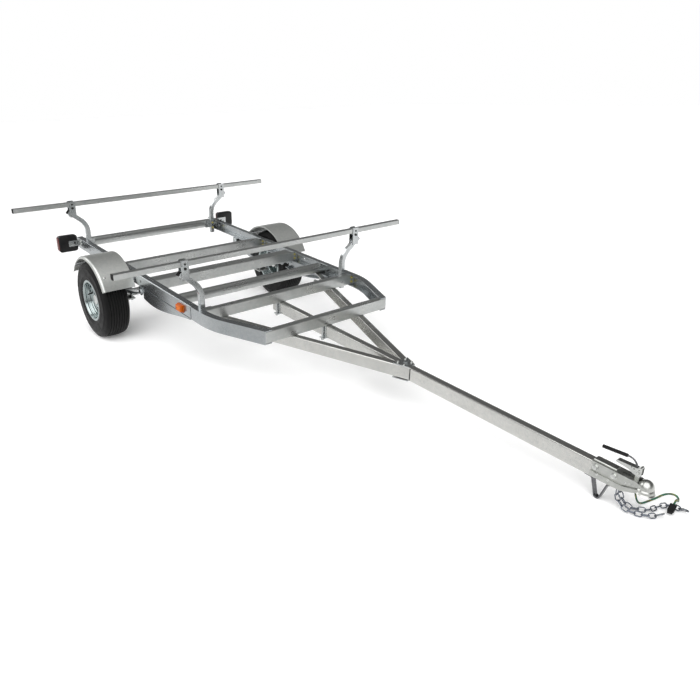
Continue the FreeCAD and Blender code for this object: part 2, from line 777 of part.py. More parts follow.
def tyre():
    """Outline from the bead up the sidewall, over the tread and back."""
    section = tyre_radius - rim_flange_radius
    bead_y = rim_half_width - rim_wall - touch_gap
    side = [(rim_seat_radius + touch_gap, bead_y), (rim_flange_radius + touch_gap, bead_y),
            (rim_flange_radius + touch_gap, rim_half_width + touch_gap)]
    side += [(rim_flange_radius + section * high, tyre_width / 2 * wide) for high, wide in tyre_wall_shares]
    outline = [(radius, wheel_y + y) for radius, y in side]
    outline += [(radius, wheel_y - y) for radius, y in reversed(side)]
    body = faceted_ring(outline, tyre_facets)
    body.translate(Vector(0, 0, -axle_drop))
    return body


def rim():
    """Rolled rim with its well, and the dished disc bolted to the hub."""
    disc_y = rim_disc_offset
    outline = [
        (rim_flange_radius, -rim_half_width), (rim_flange_radius, -rim_half_width + rim_wall),
        (rim_seat_radius, -rim_half_width + rim_wall), (rim_seat_radius, -rim_well_half_width - rim_bead_slope),
        (rim_well_radius, -rim_well_half_width), (rim_well_radius, rim_well_half_width),
        (rim_seat_radius, rim_well_half_width + rim_bead_slope), (rim_seat_radius, rim_half_width - rim_wall),
        (rim_flange_radius, rim_half_width - rim_wall), (rim_flange_radius, rim_half_width),
        (rim_seat_radius - rim_wall, rim_half_width),
        (rim_seat_radius - rim_wall, rim_well_half_width + rim_bead_slope - rim_wall),
        (rim_well_radius - rim_wall, rim_well_half_width - rim_wall),
        (rim_well_radius - rim_wall, -rim_well_half_width + rim_wall),
        (rim_seat_radius - rim_wall, -rim_well_half_width - rim_bead_slope + rim_wall),
        (rim_seat_radius - rim_wall, -rim_half_width),
    ]
    barrel = revolved_about_y([(radius, wheel_y + y) for radius, y in outline], 0, -axle_drop)
    dish = [
        (rim_pilot_radius, disc_y), (rim_face_radius - rim_disc_dish, disc_y),
        (rim_face_radius, disc_y + rim_disc_dish), (rim_well_radius - rim_wall, disc_y + rim_disc_dish - rim_wall),
        (rim_well_radius - rim_wall, disc_y + rim_disc_dish - rim_wall + rim_disc_wall),
        (rim_face_radius, disc_y + rim_disc_dish + rim_disc_wall),
        (rim_face_radius - rim_disc_dish, disc_y + rim_disc_wall), (rim_pilot_radius, disc_y + rim_disc_wall),
    ]
    disc = revolved_about_y([(radius, wheel_y + y) for radius, y in dish], 0, -axle_drop)
    for place in stud_places(wheel_y):
        disc = disc.cut(Part.makeCylinder(stud_radius + stud_hole_gap, rim_half_width, place, Vector(0, 1, 0)))
    return fused([barrel, disc])


def stud_places(y):
    """The wheel studs' centres in the plane at y."""
    places = []
    for index in range(stud_count):
        angle = 2 * math.pi * index / stud_count
        places.append(Vector(stud_circle_radius * math.sin(angle), y,
                             -axle_drop + stud_circle_radius * math.cos(angle)))
    return places


def hub():
    """Hub body, flange, dust cap and the wheel nuts outside the disc."""
    flange_y1 = wheel_y + rim_disc_offset
    flange_y0 = flange_y1 - hub_flange_wall
    centre = Vector(0, 0, -axle_drop)
    along = Vector(0, 1, 0)
    parts = [
        Part.makeCylinder(hub_body_radius, hub_inner_length, centre + along * (flange_y0 - hub_inner_length), along),
        Part.makeCylinder(hub_flange_radius, hub_flange_wall, centre + along * flange_y0, along),
        Part.makeCylinder(hub_cap_radius, hub_cap_length, centre + along * flange_y1, along),
    ]
    body = fused(parts)
    bore_end = spindle_half_length + wheel_running_gap
    bore_start = flange_y0 - hub_inner_length - cut_overrun
    body = body.cut(Part.makeCylinder(spindle_radius + hub_bore_gap, bore_end - bore_start,
                                      centre + along * bore_start, along))
    for place in stud_places(flange_y1):
        seat = place + along * rim_disc_wall
        body = body.fuse([cylinder_between(place, seat, stud_radius), hex_nut(seat, nut_radius, nut_height, along)])
    return body.removeSplitter()


def guard():
    """Rolled mudguard with a bead along its inner edge and its outer edge turned down in a lip."""
    turn = Vector(0, guard_outer_y - guard_lip_radius, guard_radius - guard_lip_radius)
    arcs = []
    for radius in (guard_lip_radius, guard_lip_radius - guard_wall):
        middle = turn + Vector(0, radius, radius) / math.sqrt(2)
        arcs.append((turn + Vector(0, 0, radius), middle, turn + Vector(0, radius, 0)))
    (top, top_middle, tip), (inner_top, inner_middle, inner_tip) = arcs
    corners = [Vector(0, guard_inner_y, guard_radius - guard_wall), Vector(0, guard_inner_y, guard_radius)]
    edges = [Part.makeLine(*corners), Part.makeLine(corners[1], top), Part.Arc(top, top_middle, tip).toShape(),
             Part.makeLine(tip, inner_tip), Part.Arc(inner_tip, inner_middle, inner_top).toShape(),
             Part.makeLine(inner_top, corners[0])]
    section = Part.Face(Part.Wire(edges))
    centre = Vector(0, guard_inner_y + guard_bead_radius, guard_radius - guard_bead_radius)
    section = section.fuse(Part.Face(Part.Wire(Part.makeCircle(guard_bead_radius, centre, Vector(1, 0, 0)))))
    section = section.removeSplitter()
    section.rotate(Vector(0, 0, 0), Vector(0, 1, 0), -(90 - guard_end_angle))
    span = 180 - 2 * guard_end_angle
    solids = [face.revolve(Vector(0, 0, 0), Vector(0, 1, 0), span) for face in section.Faces]
    body = fused(solids)
    body.translate(Vector(0, 0, -axle_drop))
    return body


def guard_bracket(side_x):
    """A curved bar from the mudguard's bead to its lip, with a tab on the rail's web."""
    outer = guard_radius - 2 * guard_bead_radius - touch_gap
    inner = outer - guard_bracket_wall
    y1 = guard_outer_y - guard_wall - guard_lip_room
    points = [(inner, rail_half_width), (outer, rail_half_width), (outer, y1), (inner, y1)]
    bar = revolved_about_y(points, 0, 0, guard_bracket_span)
    bar.rotate(Vector(0, 0, 0), Vector(0, 1, 0), 90 - guard_bracket_lift - guard_bracket_span / 2)
    bar.translate(Vector(0, 0, -axle_drop))
    tab_x = inner * math.cos(math.radians(guard_bracket_lift))
    tab = solid_box(tab_x - guard_tab_side / 2, tab_x + guard_tab_side / 2, rail_half_width,
                    rail_half_width + guard_tab_wall, guard_tab_z - guard_tab_side / 2,
                    guard_tab_z + guard_tab_side / 2)
    bracket = fused([bar, tab])
    return bracket if side_x > 0 else bracket.mirror(Vector(0, 0, 0), Vector(1, 0, 0))


def saddle_upright():
    """A bent square tube with the two-cheeked saddle for the load bar on its end."""
    path_z0 = upright_bottom_z
    turn = math.radians(upright_bend_angle)
    start = Vector(0, upright_y, path_z0)
    bend = Vector(0, upright_y, upright_bend_z)
    centre = bend + Vector(0, upright_bend_radius, 0)
    middle = centre + Vector(0, -math.cos(turn / 2), math.sin(turn / 2)) * upright_bend_radius
    bent = centre + Vector(0, -math.cos(turn), math.sin(turn)) * upright_bend_radius
    tip = bent + Vector(0, math.sin(turn), math.cos(turn)) * upright_tip_length
    path = Part.Wire([Part.makeLine(start, bend), Part.Arc(bend, middle, bent).toShape(), Part.makeLine(bent, tip)])
    profiles = []
    for side, corner in ((upright_side, upright_corner),
                         (upright_side - 2 * upright_wall, upright_corner - upright_wall)):
        profile = rounded_rectangle(side, side, corner)
        profile.rotate(Vector(0, 0, 0), Vector(0, 1, 0), 90)
        profile.translate(start)
        profiles.append(path.makePipeShell([profile], True, False))
    tube = profiles[0].cut(profiles[1])
    seat_z = bar_centre_z - bar_side / 2
    foot_z = bent.z + (tip.z - bent.z) * saddle_foot_share
    parts = [tube]
    for side in (-1, 1):
        x0, x1 = sorted((side * bar_side / 2, side * (bar_side / 2 + saddle_wall)))
        cheek = solid_box(x0, x1, saddle_half_track - saddle_width / 2, saddle_half_track + saddle_width / 2,
                          foot_z, saddle_top_z)
        vertical = [edge for edge in cheek.Edges
                    if abs(edge.Vertexes[0].Z - saddle_top_z) < touch_gap
                    and abs(edge.Vertexes[1].Z - saddle_top_z) < touch_gap
                    and abs(edge.Vertexes[0].X - edge.Vertexes[1].X) > touch_gap]
        parts.append(cheek.makeFillet(saddle_corner, vertical))
    parts.append(solid_box(-bar_side / 2, bar_side / 2, saddle_half_track - saddle_width / 2,
                           saddle_half_track + saddle_width / 2, seat_z - saddle_seat_wall, seat_z))
    return fused(parts)


def upright_plate(centre_x, face_side):
    """The plate between an upright and its crossmember."""
    x0, x1 = sorted((centre_x + face_side * upright_side / 2,
                     centre_x + face_side * (upright_side / 2 + upright_plate_wall)))
    z1 = cross_top_z
    return solid_box(x0, x1, flange_inner_y - upright_plate_width, flange_inner_y - touch_gap,
                     z1 - upright_plate_height, z1)


def load_bar(centre_x):
    inner_y = bar_length / 2 - cap_wall
    return tube_along_y(-inner_y, inner_y, centre_x, bar_centre_z, bar_side - 2 * touch_gap, bar_side, bar_wall,
                        bar_corner)


def bar_cap(centre_x, side):
    inner_y = bar_length / 2 - cap_wall
    plug_side = bar_side - 2 * bar_wall - 2 * touch_gap
    face = Part.Face(rounded_rectangle(bar_side - 2 * touch_gap, bar_side, bar_corner))
    plate = face.extrude(Vector(cap_wall, 0, 0))
    plug = Part.Face(rounded_rectangle(plug_side, plug_side, bar_corner)).extrude(Vector(-4 * cap_wall, 0, 0))
    cap = plate.fuse(plug)
    cap.rotate(Vector(0, 0, 0), Vector(0, 0, 1), 90 * side)
    cap.translate(Vector(centre_x, side * inner_y, bar_centre_z))
    return cap


def rounded_block(x0, x1, y0, y1, z0, z1, radius):
    """A block with its four edges along x rounded."""
    face = Part.Face(rounded_rectangle(y1 - y0, z1 - z0, radius))
    face.translate(Vector(x0, (y0 + y1) / 2, (z0 + z1) / 2))
    return face.extrude(Vector(x1 - x0, 0, 0))


def tail_lamp():
    return rounded_block(lamp_x - lamp_depth, lamp_x, lamp_y - lamp_width / 2, lamp_y + lamp_width / 2,
                         lamp_z - lamp_height / 2, lamp_z + lamp_height / 2, lamp_corner)


def tail_lens():
    x1 = lamp_x - lamp_depth
    inset = lamp_lens_inset
    return rounded_block(x1 - lamp_lens_depth, x1, lamp_y - lamp_width / 2 + inset,
                         lamp_y + lamp_width / 2 - inset, lamp_z - lamp_height / 2 + inset,
                         lamp_z + lamp_height / 2 - inset, lamp_corner)


def lamp_bracket():
    z0 = lamp_z - lamp_bracket_height / 2
    z1 = lamp_z + lamp_bracket_height / 2
    z0 = max(z0, -rail_height)
    z1 = min(z1, 0)
    arm = solid_box(lamp_x, lamp_x + lamp_bracket_wall, rail_half_width, rail_half_width + lamp_bracket_reach, z0, z1)
    tab = solid_box(lamp_x, lamp_x + lamp_bracket_height, rail_half_width, rail_half_width + lamp_bracket_wall, z0, z1)
    return fused([arm, tab])


def side_marker():
    lamp = rounded_block(0, marker_depth, -marker_length / 2, marker_length / 2, -marker_height / 2,
                         marker_height / 2, marker_corner)
    lamp.rotate(Vector(0, 0, 0), Vector(0, 0, 1), 90)
    lamp.translate(Vector(marker_x, rail_half_width, marker_z))
    return lamp


def coupler_body():
    """A pressed channel over the tongue's end that runs out to the ball socket."""
    half_in = tongue_width / 2 + touch_gap
    half_out = half_in + coupler_wall
    bottom = coupler_top_out - coupler_depth
    socket_out = ball_radius + socket_wall
    collar_out = socket_out + collar_wall
    nose_bottom = coupler_z - socket_depth
    lower_line = [(coupler_rear_x, bottom), (coupler_low_front_x, bottom), (coupler_rise_x, nose_bottom),
                  (coupler_x, nose_bottom)]
    upper_line = [(coupler_x, coupler_top_out - coupler_slope_drop), (coupler_slope_x, coupler_top_out),
                  (coupler_rear_x, coupler_top_out)]
    outer = polygon_prism([Vector(x, -half_out, z) for x, z in lower_line + upper_line], Vector(0, 2 * half_out, 0))
    skirt_half = half_out + coupler_skirt
    outline = [Vector(x, -skirt_half, z) for x, z in lower_line]
    outline += [Vector(x, -skirt_half, min(z + coupler_skirt_height, coupler_z - collar_top_drop))
                for x, z in reversed(lower_line)]
    skirt = polygon_prism(outline, Vector(0, 2 * skirt_half, 0))
    up = Vector(0, 0, 1)
    low = Vector(coupler_x, 0, nose_bottom)
    collar_height = socket_depth - collar_top_drop
    dome = Part.makeSphere(socket_out, Vector(coupler_x, 0, coupler_z))
    collar = Part.makeCylinder(collar_out, collar_height, low, up)
    shoulder = Part.makeCone(collar_out, socket_out, collar_slope, low + up * collar_height, up)
    flare = Part.makeCone(collar_out + socket_flare, collar_out, socket_flare_height, low, up)
    rib = solid_box(coupler_rear_x, coupler_rear_x + coupler_rib_length, -coupler_rib_half_width,
                    coupler_rib_half_width, coupler_top_in, coupler_top_out + coupler_rib_height)
    rib_edges = [edge for edge in rib.Edges
                 if all(vertex.Z > coupler_top_out + touch_gap for vertex in edge.Vertexes)]
    rib = rib.makeChamfer(coupler_rib_height / 2, rib_edges)
    body = fused([outer, skirt, dome, collar, shoulder, flare, rib])
    inner = solid_box(coupler_rear_x - cut_overrun, coupler_neck_x, -half_in, half_in, bottom - cut_overrun,
                      coupler_top_in)
    room_half = ball_radius - coupler_wall
    room_top = coupler_top_in - coupler_wall
    room_line = [(coupler_neck_x - cut_overrun, bottom - cut_overrun), (coupler_x, bottom - cut_overrun),
                 (coupler_x, room_top - coupler_slope_drop), (coupler_slope_x, room_top),
                 (coupler_neck_x - cut_overrun, room_top)]
    front_room = polygon_prism([Vector(x, -room_half, z) for x, z in room_line], Vector(0, 2 * room_half, 0))
    ball_room = Part.makeSphere(ball_radius, Vector(coupler_x, 0, coupler_z))
    mouth = Part.makeCylinder(ball_radius, socket_depth + cut_overrun, low - up * cut_overrun, up)
    below = solid_box(coupler_x - cut_overrun, coupler_x + 3 * cut_overrun, -3 * cut_overrun, 3 * cut_overrun,
                      bottom - 3 * cut_overrun, nose_bottom)
    for tool in (inner, front_room, ball_room, mouth, below, latch_slot()):
        body = body.cut(tool)
    return fused([body] + latch_ears() + chain_bolt())


def clamp_stem_x():
    return pivot_x - pivot_radius - touch_gap - clamp_stem_radius


def latch_slot():
    """The round-ended slot in the coupler's top that the clamp's stem comes up through."""
    front_x = clamp_stem_x()
    rear_x = front_x + 2 * latch_slot_half_width - latch_slot_length
    z0 = coupler_top_in - cut_overrun
    height = coupler_wall + 2 * cut_overrun
    ends = [Part.makeCylinder(latch_slot_half_width, height, Vector(x, 0, z0)) for x in (rear_x, front_x)]
    middle = solid_box(rear_x, front_x, -latch_slot_half_width, latch_slot_half_width, z0, z0 + height)
    return fused([middle] + ends)


def chain_bolt():
    """The bolt across the coupler's cheeks that the chains hang on, with its head and nut."""
    reach = tongue_width / 2 + touch_gap + coupler_wall
    start = Vector(chain_bolt_x, -reach, chain_bolt_z)
    end = Vector(chain_bolt_x, reach, chain_bolt_z)
    along = Vector(0, 1, 0)
    head = hex_nut(start - along * chain_bolt_head, 2 * chain_bolt_radius, chain_bolt_head, along)
    nut = hex_nut(end, 2 * chain_bolt_radius, chain_bolt_head, along)
    return [cylinder_between(start, end, chain_bolt_radius), head, nut]


def harness_clip():
    """The clip on the coupler's left skirt that the harness hangs from, in the parked frame."""
    skirt_y = tongue_width / 2 + touch_gap + coupler_wall + coupler_skirt
    x, y, z = harness_route[0]
    return solid_box(x - harness_clip_width / 2, x + harness_clip_width / 2, skirt_y - coupler_skirt / 2,
                     skirt_y + harness_clip_reach, z, z + harness_clip_height)


def stadium(length, width):
    """Corners of a long link's outline in its own plane, in order."""
    radius = width / 2
    straight = length / 2 - radius
    corners = []
    for side in (1, -1):
        for angle in link_corner_angles:
            turn = math.radians(angle)
            corners.append(Vector(side * (straight + radius * math.cos(turn)), side * radius * math.sin(turn), 0))
    return corners


def ring_link(length, width, wire):
    """A link of square wire, lying in the XY plane about its middle."""
    outer = stadium(length, width)
    inner = stadium(length - 2 * wire, width - 2 * wire)
    faces = [Part.Face(Part.makePolygon(line + [line[0]])) for line in (outer, inner)]
    ring = faces[0].cut(faces[1])
    ring.translate(Vector(0, 0, -wire / 2))
    return ring.extrude(Vector(0, 0, wire))


def link_reach(length, width, wire):
    """From a link's middle to the inside of its end."""
    radius = width / 2 - wire
    return length / 2 - width / 2 + radius * math.cos(math.radians(link_corner_angles[2]))


def ground_z(x):
    """The ground's height below the parked trailer, in the level frame."""
    turn = math.radians(pitch)
    return -axle_drop + (x * math.sin(turn) - tyre_radius) / math.cos(turn)


def walk_along(route, step, count):
    """Points a step apart along a line of straight runs."""
    points = [route[0]]
    leg = 0
    while len(points) <= count:
        last = points[-1]
        while leg + 2 < len(route) and (route[leg + 1] - last).Length < step:
            leg += 1
        run = route[leg + 1] - route[leg]
        run.normalize()
        ahead = last - route[leg]
        along = ahead.dot(run)
        aside = (ahead - run * along).Length
        points.append(route[leg] + run * (along + math.sqrt(max(step ** 2 - aside ** 2, 0))))
    return points


def placed(shape, middle, along, normal):
    """Moves a link from the XY plane to its middle, its length along one way and its plane's normal the other."""
    across = normal.cross(along)
    shape.Placement = Placement(FreeCAD.Matrix(along.x, across.x, normal.x, middle.x, along.y, across.y, normal.y, middle.y,
                                               along.z, across.z, normal.z, middle.z, 0, 0, 0, 1))
    return shape


def safety_chain(side, shares, count):
    """Links from the bolt to the ground and along it, each pressed into the last and turned against it, then a hook."""
    reach = link_reach(link_length, link_width, link_wire)
    pitch_length = 2 * reach + link_sink
    lie = (link_width + link_wire) / 2 * math.sin(math.radians(link_roll)) + chain_floor_gap
    top = Vector(chain_bolt_x, side * chain_y, chain_bolt_z + chain_bolt_radius + touch_gap - reach + pitch_length / 2)
    bend = chain_bend_share * pitch_length
    route = [top]
    for angle in chain_bend_angles:
        turn = math.radians(angle)
        x = chain_bolt_x + bend * (1 - math.cos(turn))
        route.append(Vector(x, top.y, ground_z(x) + lie + bend * (1 - math.sin(turn))))
    for along_share, across_share in shares:
        x = chain_bolt_x + along_share * pitch_length
        route.append(Vector(x, across_share * pitch_length, ground_z(x) + lie))
    points = walk_along(route, pitch_length, count)
    links = []
    across = Vector(0, 1, 0)
    for index in range(count):
        along = points[index + 1] - points[index]
        along.normalize()
        across = across - along * across.dot(along)
        across.normalize()
        up = along.cross(across)
        twist = link_roll * min(max(index - 1, 0) / link_twist_steps, 1)
        roll = index * math.pi / 2 - math.radians(twist)
        normal = across * math.cos(roll) + up * math.sin(roll)
        links.append(placed(ring_link(link_length, link_width, link_wire), (points[index] + points[index + 1]) * 0.5,
                            along, normal))
    hook_reach = link_reach(hook_length, hook_width, hook_wire)
    joint = points[count]
    aim = joint + along * hook_reach
    aim.z = ground_z(aim.x) + (hook_width + hook_wire) / 2 * math.sin(math.radians(link_roll)) + chain_floor_gap
    along = (aim - joint).normalize()
    normal = along.cross(normal).normalize()
    middle = joint + along * (hook_reach + link_sink / 2)
    return fused(links + [placed(snap_hook(), middle, along, normal)])


def snap_hook():
    """A hook like a wide link with its mouth cut through one side."""
    ring = ring_link(hook_length, hook_width, hook_wire)
    mouth = solid_box(0, hook_mouth, 0, hook_width, -hook_wire, hook_wire)
    return ring.cut(mouth)


def harness_path():
    """Straight runs joined by arcs as large as their runs allow; returns the wire and the radii."""
    points = [Vector(*place) for place in harness_route]
    edges = []
    radii = []
    previous = points[0]
    for index in range(1, len(points) - 1):
        corner = points[index]
        back = points[index - 1] - corner
        ahead = points[index + 1] - corner
        reach = 0.45 * min(back.Length, ahead.Length)
        back.normalize()
        ahead.normalize()
        half_turn = (math.pi - back.getAngle(ahead)) / 2
        radius = reach / math.tan(half_turn)
        radii.append(round(radius, 1))
        first = corner + back * reach
        last = corner + ahead * reach
        inward = (back + ahead).normalize()
        middle = corner + inward * (radius / math.cos(half_turn) - radius)
        edges.append(Part.LineSegment(previous, first).toShape())
        edges.append(Part.Arc(first, middle, last).toShape())
        previous = last
    edges.append(Part.LineSegment(previous, points[-1]).toShape())
    return Part.Wire(edges), radii


def harness():
    path, radii = harness_path()
    start, following = [Vector(*place) for place in harness_route[:2]]
    circle = Part.Wire(Part.makeCircle(harness_diameter / 2, start, following - start))
    tube = path.makePipeShell([circle], True, False)
    section = math.pi * harness_diameter ** 2 / 4
    print("harness length", round(path.Length, 1), "radii", radii, "volume share", round(tube.Volume / (section * path.Length), 4))
    return tube


def trailer_plug():
    """A flat moulded plug, its back end at the harness's end and in line with its last run."""
    before, end = [Vector(*place) for place in harness_route[-2:]]
    along = end - before
    along.normalize()
    body = Part.Face(rounded_rectangle(plug_width, plug_height, plug_corner)).extrude(Vector(plug_length, 0, 0))
    nose = Part.Face(rounded_rectangle(plug_width * plug_nose_share, plug_height * plug_nose_share,
                                       plug_corner * plug_nose_share)).extrude(Vector(plug_nose_length, 0, 0))
    nose.translate(Vector(plug_length, 0, 0))
    plug = fused([body, nose])
    plug.rotate(Vector(0, 0, 0), Vector(0, 1, 0), -math.degrees(math.asin(along.z)))
    plug.rotate(Vector(0, 0, 0), Vector(0, 0, 1), math.degrees(math.atan2(along.y, along.x)))
    plug.translate(end)
    return plug


def latch_ears():
    """Two round-topped ears beside the slot and the pin that the latch turns on."""
    solids = []
    outer_y = latch_half_width - latch_wall - ear_side_gap
    for side in (-1, 1):
        y0, y1 = sorted((side * (outer_y - ear_wall), side * outer_y))
        solids.append(solid_box(pivot_x - ear_radius, pivot_x + ear_radius, y0, y1, coupler_top_in, pivot_z))
        solids.append(Part.makeCylinder(ear_radius, ear_wall, Vector(pivot_x, y0, pivot_z), Vector(0, 1, 0)))
    pin_half = latch_half_width + pivot_radius
    solids.append(Part.makeCylinder(pivot_radius, 2 * pin_half, Vector(pivot_x, -pin_half, pivot_z),
                                    Vector(0, 1, 0)))
    return solids


def latch_lever():
    """A folded lever with a long tail, a hump at the front and a bore across its cheeks for the pin."""
    rear_x = pivot_x - latch_rear
    front_x = pivot_x + latch_front
    points = [
        (rear_x, pivot_z + latch_tail_bottom), (rear_x, pivot_z + latch_tail_top - latch_corner / 2),
        (rear_x + latch_corner, pivot_z + latch_tail_top),
        (front_x - 2 * latch_hump_length, pivot_z + latch_top), (front_x - latch_hump_length, pivot_z + latch_hump_top),
        (front_x - latch_corner / 2, pivot_z + latch_hump_top), (front_x, pivot_z + latch_hump_top - latch_corner),
        (front_x, pivot_z - latch_deep + latch_corner), (front_x - latch_corner, pivot_z - latch_deep),
        (pivot_x - latch_deep_rear, pivot_z - latch_deep_rear_bottom), (pivot_x - latch_cheek_rear, pivot_z),
    ]
    outline = [Vector(x, -latch_half_width, z) for x, z in points]
    body = polygon_prism(outline, Vector(0, 2 * latch_half_width, 0))
    lowered = [Vector(x, -latch_half_width + latch_wall, z - latch_wall) for x, z in points[1:6]]
    lowered[0].x = rear_x - cut_overrun
    lowered[1].x = rear_x - cut_overrun
    lowered = lowered[1:]
    lowered += [Vector(front_x + cut_overrun, lowered[0].y, lowered[-1].z),
                Vector(front_x + cut_overrun, lowered[0].y, pivot_z - latch_deep - cut_overrun),
                Vector(rear_x - cut_overrun, lowered[0].y, pivot_z - latch_deep - cut_overrun)]
    room = polygon_prism(lowered, Vector(0, 2 * (latch_half_width - latch_wall), 0))
    bore = Part.makeCylinder(pivot_radius + pivot_bore_gap, 2 * latch_half_width,
                             Vector(pivot_x, -latch_half_width, pivot_z), Vector(0, 1, 0))
    return body.cut(room).cut(bore)


def ball_clamp():
    """The block that is drawn up against the ball's rear, hung beside the latch's pin by a stem."""
    top_z = coupler_z - clamp_block_drop
    block = solid_box(clamp_block_x - clamp_block_length, clamp_block_x, -clamp_block_half_width,
                      clamp_block_half_width, top_z - clamp_block_height, top_z)
    ball = Part.makeSphere(ball_radius + touch_gap, Vector(coupler_x, 0, coupler_z))
    mouth = Part.makeCylinder(ball_radius + touch_gap, clamp_block_height + clamp_block_drop,
                              Vector(coupler_x, 0, top_z - clamp_block_height))
    stem = Part.makeCylinder(clamp_stem_radius, pivot_z - top_z, Vector(clamp_stem_x(), 0, top_z), Vector(0, 0, 1))
    return block.cut(ball).cut(mouth).fuse(stem)


def handle_line():
    """The rod's points: foot, bend's start, middle and end, rear end; and the way it runs back."""
    def spoke(angle):
        return Vector(math.cos(angle), 0, math.sin(angle))

    first = math.radians(handle_lean)
    last = math.radians(90 + handle_fall)
    base = Vector(pivot_x - handle_setback, 0, pivot_z + latch_top + handle_radius * math.sin(first))
    rise = base + spoke(first + math.pi / 2) * handle_rise
    centre = rise - spoke(first) * handle_bend_radius
    middle = centre + spoke((first + last) / 2) * handle_bend_radius
    bent = centre + spoke(last) * handle_bend_radius
    back = spoke(last + math.pi / 2)
    return base, rise, middle, bent, bent + back * handle_length, back


def latch_handle():
    """The bent rod that rises from the latch and runs back to the grip."""
    base, rise, middle, bent, end, back = handle_line()
    foot_end = end - back * grip_radius
    path = Part.Wire([Part.makeLine(base, rise), Part.Arc(rise, middle, bent).toShape(),
                      Part.makeLine(bent, foot_end)])
    circle = Part.Wire(Part.makeCircle(handle_radius, base, rise - base))
    return path.makePipeShell([circle], True, False)


def latch_grip():
    end, back = handle_line()[-2:]
    body = Part.makeCylinder(grip_radius, grip_length, end, -back)
    bore = Part.makeCylinder(handle_radius, grip_length, end - back * grip_radius, -back)
    return body.cut(bore)


def foot():
    """A flat strap bent to a V under the front of the tongue; the line is the strap's middle."""
    top_z = tongue_bottom_z
    rear_top = Vector(foot_rear_x, 0, top_z - foot_wall / 2)
    low = Vector(foot_tip_x, 0, foot_corner_z)
    front_top = Vector(foot_front_x, 0, top_z - foot_wall / 2)
    line = [Vector(foot_rear_x - foot_rear_pad, 0, rear_top.z), rear_top, low, front_top,
            Vector(foot_front_x + foot_front_pad, 0, front_top.z)]
    edges = []
    previous = line[0]
    radius = foot_bend_radius - foot_wall / 2
    for index in range(1, len(line) - 1):
        corner = line[index]
        back = (line[index - 1] - corner).normalize()
        ahead = (line[index + 1] - corner).normalize()
        half_turn = (math.pi - back.getAngle(ahead)) / 2
        cut_back = radius * math.tan(half_turn)
        first = corner + back * cut_back
        last = corner + ahead * cut_back
        bisector = (back + ahead).normalize()
        middle = corner + bisector * (radius / math.cos(half_turn) - radius)
        edges.append(Part.makeLine(previous, first))
        edges.append(Part.Arc(first, middle, last).toShape())
        previous = last
    edges.append(Part.makeLine(previous, line[-1]))
    path = Part.Wire(edges)
    profile = rounded_rectangle(foot_width, foot_wall, foot_wall / 4)
    profile.translate(line[0])
    return path.makePipeShell([profile], True, False), radius


def parking_placement(foot_shape):
    """Turns the trailer about y so that the tyres and the foot stand on z = 0."""
    wheel = Vector(0, 0, -axle_drop)
    angle = 0.0
    for step in range(12):
        turned = foot_shape.copy()
        turned.rotate(wheel, Vector(0, 1, 0), math.degrees(angle))
        low = turned.optimalBoundingBox(False, False).ZMin
        error = low - (wheel.z - tyre_radius)
        angle += math.atan2(error, foot_tip_x)
    return math.degrees(angle), wheel


parts = {}


def add_pair(name, shape):
    parts[name + "_left"] = shape
    parts[name + "_right"] = mirror_side(shape)


def add_both(name, shapes):
    mirrored = [mirror_side(shape) for shape in shapes]
    parts[name] = Part.makeCompound(shapes + mirrored)


add_pair("side_rail", side_rail())
add_pair("front_rail", front_rail())
parts["crossmember_rear"] = round_crossmember(cross_rear_x)
parts["crossmember_axle"] = square_crossmember(cross_axle_x, cross_depth)
parts["crossmember_wide"] = square_crossmember(cross_wide_x, cross_wide_depth)
parts["crossmember_middle"] = round_crossmember(cross_mid_x)
parts["crossmember_tongue"] = tongue_crossmember()
parts["crossmember_front"] = front_crossmember()
parts["tongue"] = tongue()
add_pair("diagonal", diagonal())
parts["tongue_clamps"] = Part.makeCompound([tongue_clamp(cross_tongue_x), tongue_clamp(cross_front_x)])
parts["joint_plates"] = joint_plates()
parts["axle"] = axle()
add_pair("leaf_spring", leaf_spring())
add_both("axle_clamps", [axle_clamp()])
add_pair("gusset", gusset())
add_both("rear_hangers", [rear_hanger()])
add_pair("tyre", tyre())
add_pair("rim", rim())
add_pair("hub", hub())
add_pair("mudguard", guard())
add_both("mudguard_brackets", [guard_bracket(-1), guard_bracket(1)])
upright_shape = saddle_upright()
for place, centre_x, face_side in (("rear", upright_rear_x, -1), ("front", upright_front_x, 1)):
    shape = upright_shape.copy()
    shape.translate(Vector(centre_x, 0, 0))
    add_pair("upright_" + place, shape)
    parts["load_bar_" + place] = load_bar(centre_x)
add_both("upright_plates", [upright_plate(upright_rear_x, -1), upright_plate(upright_front_x, 1)])
add_both("bar_caps", [bar_cap(upright_rear_x, 1), bar_cap(upright_front_x, 1)])
add_both("tail_lamps", [tail_lamp()])
add_both("tail_lenses", [tail_lens()])
add_both("lamp_brackets", [lamp_bracket()])
add_both("side_markers", [side_marker()])
parts["coupler_body"] = coupler_body()
parts["ball_clamp"] = ball_clamp()
parts["latch_lever"] = latch_lever()
parts["latch_handle"] = latch_handle()
parts["latch_grip"] = latch_grip()
parts["foot"], foot_radius = foot()

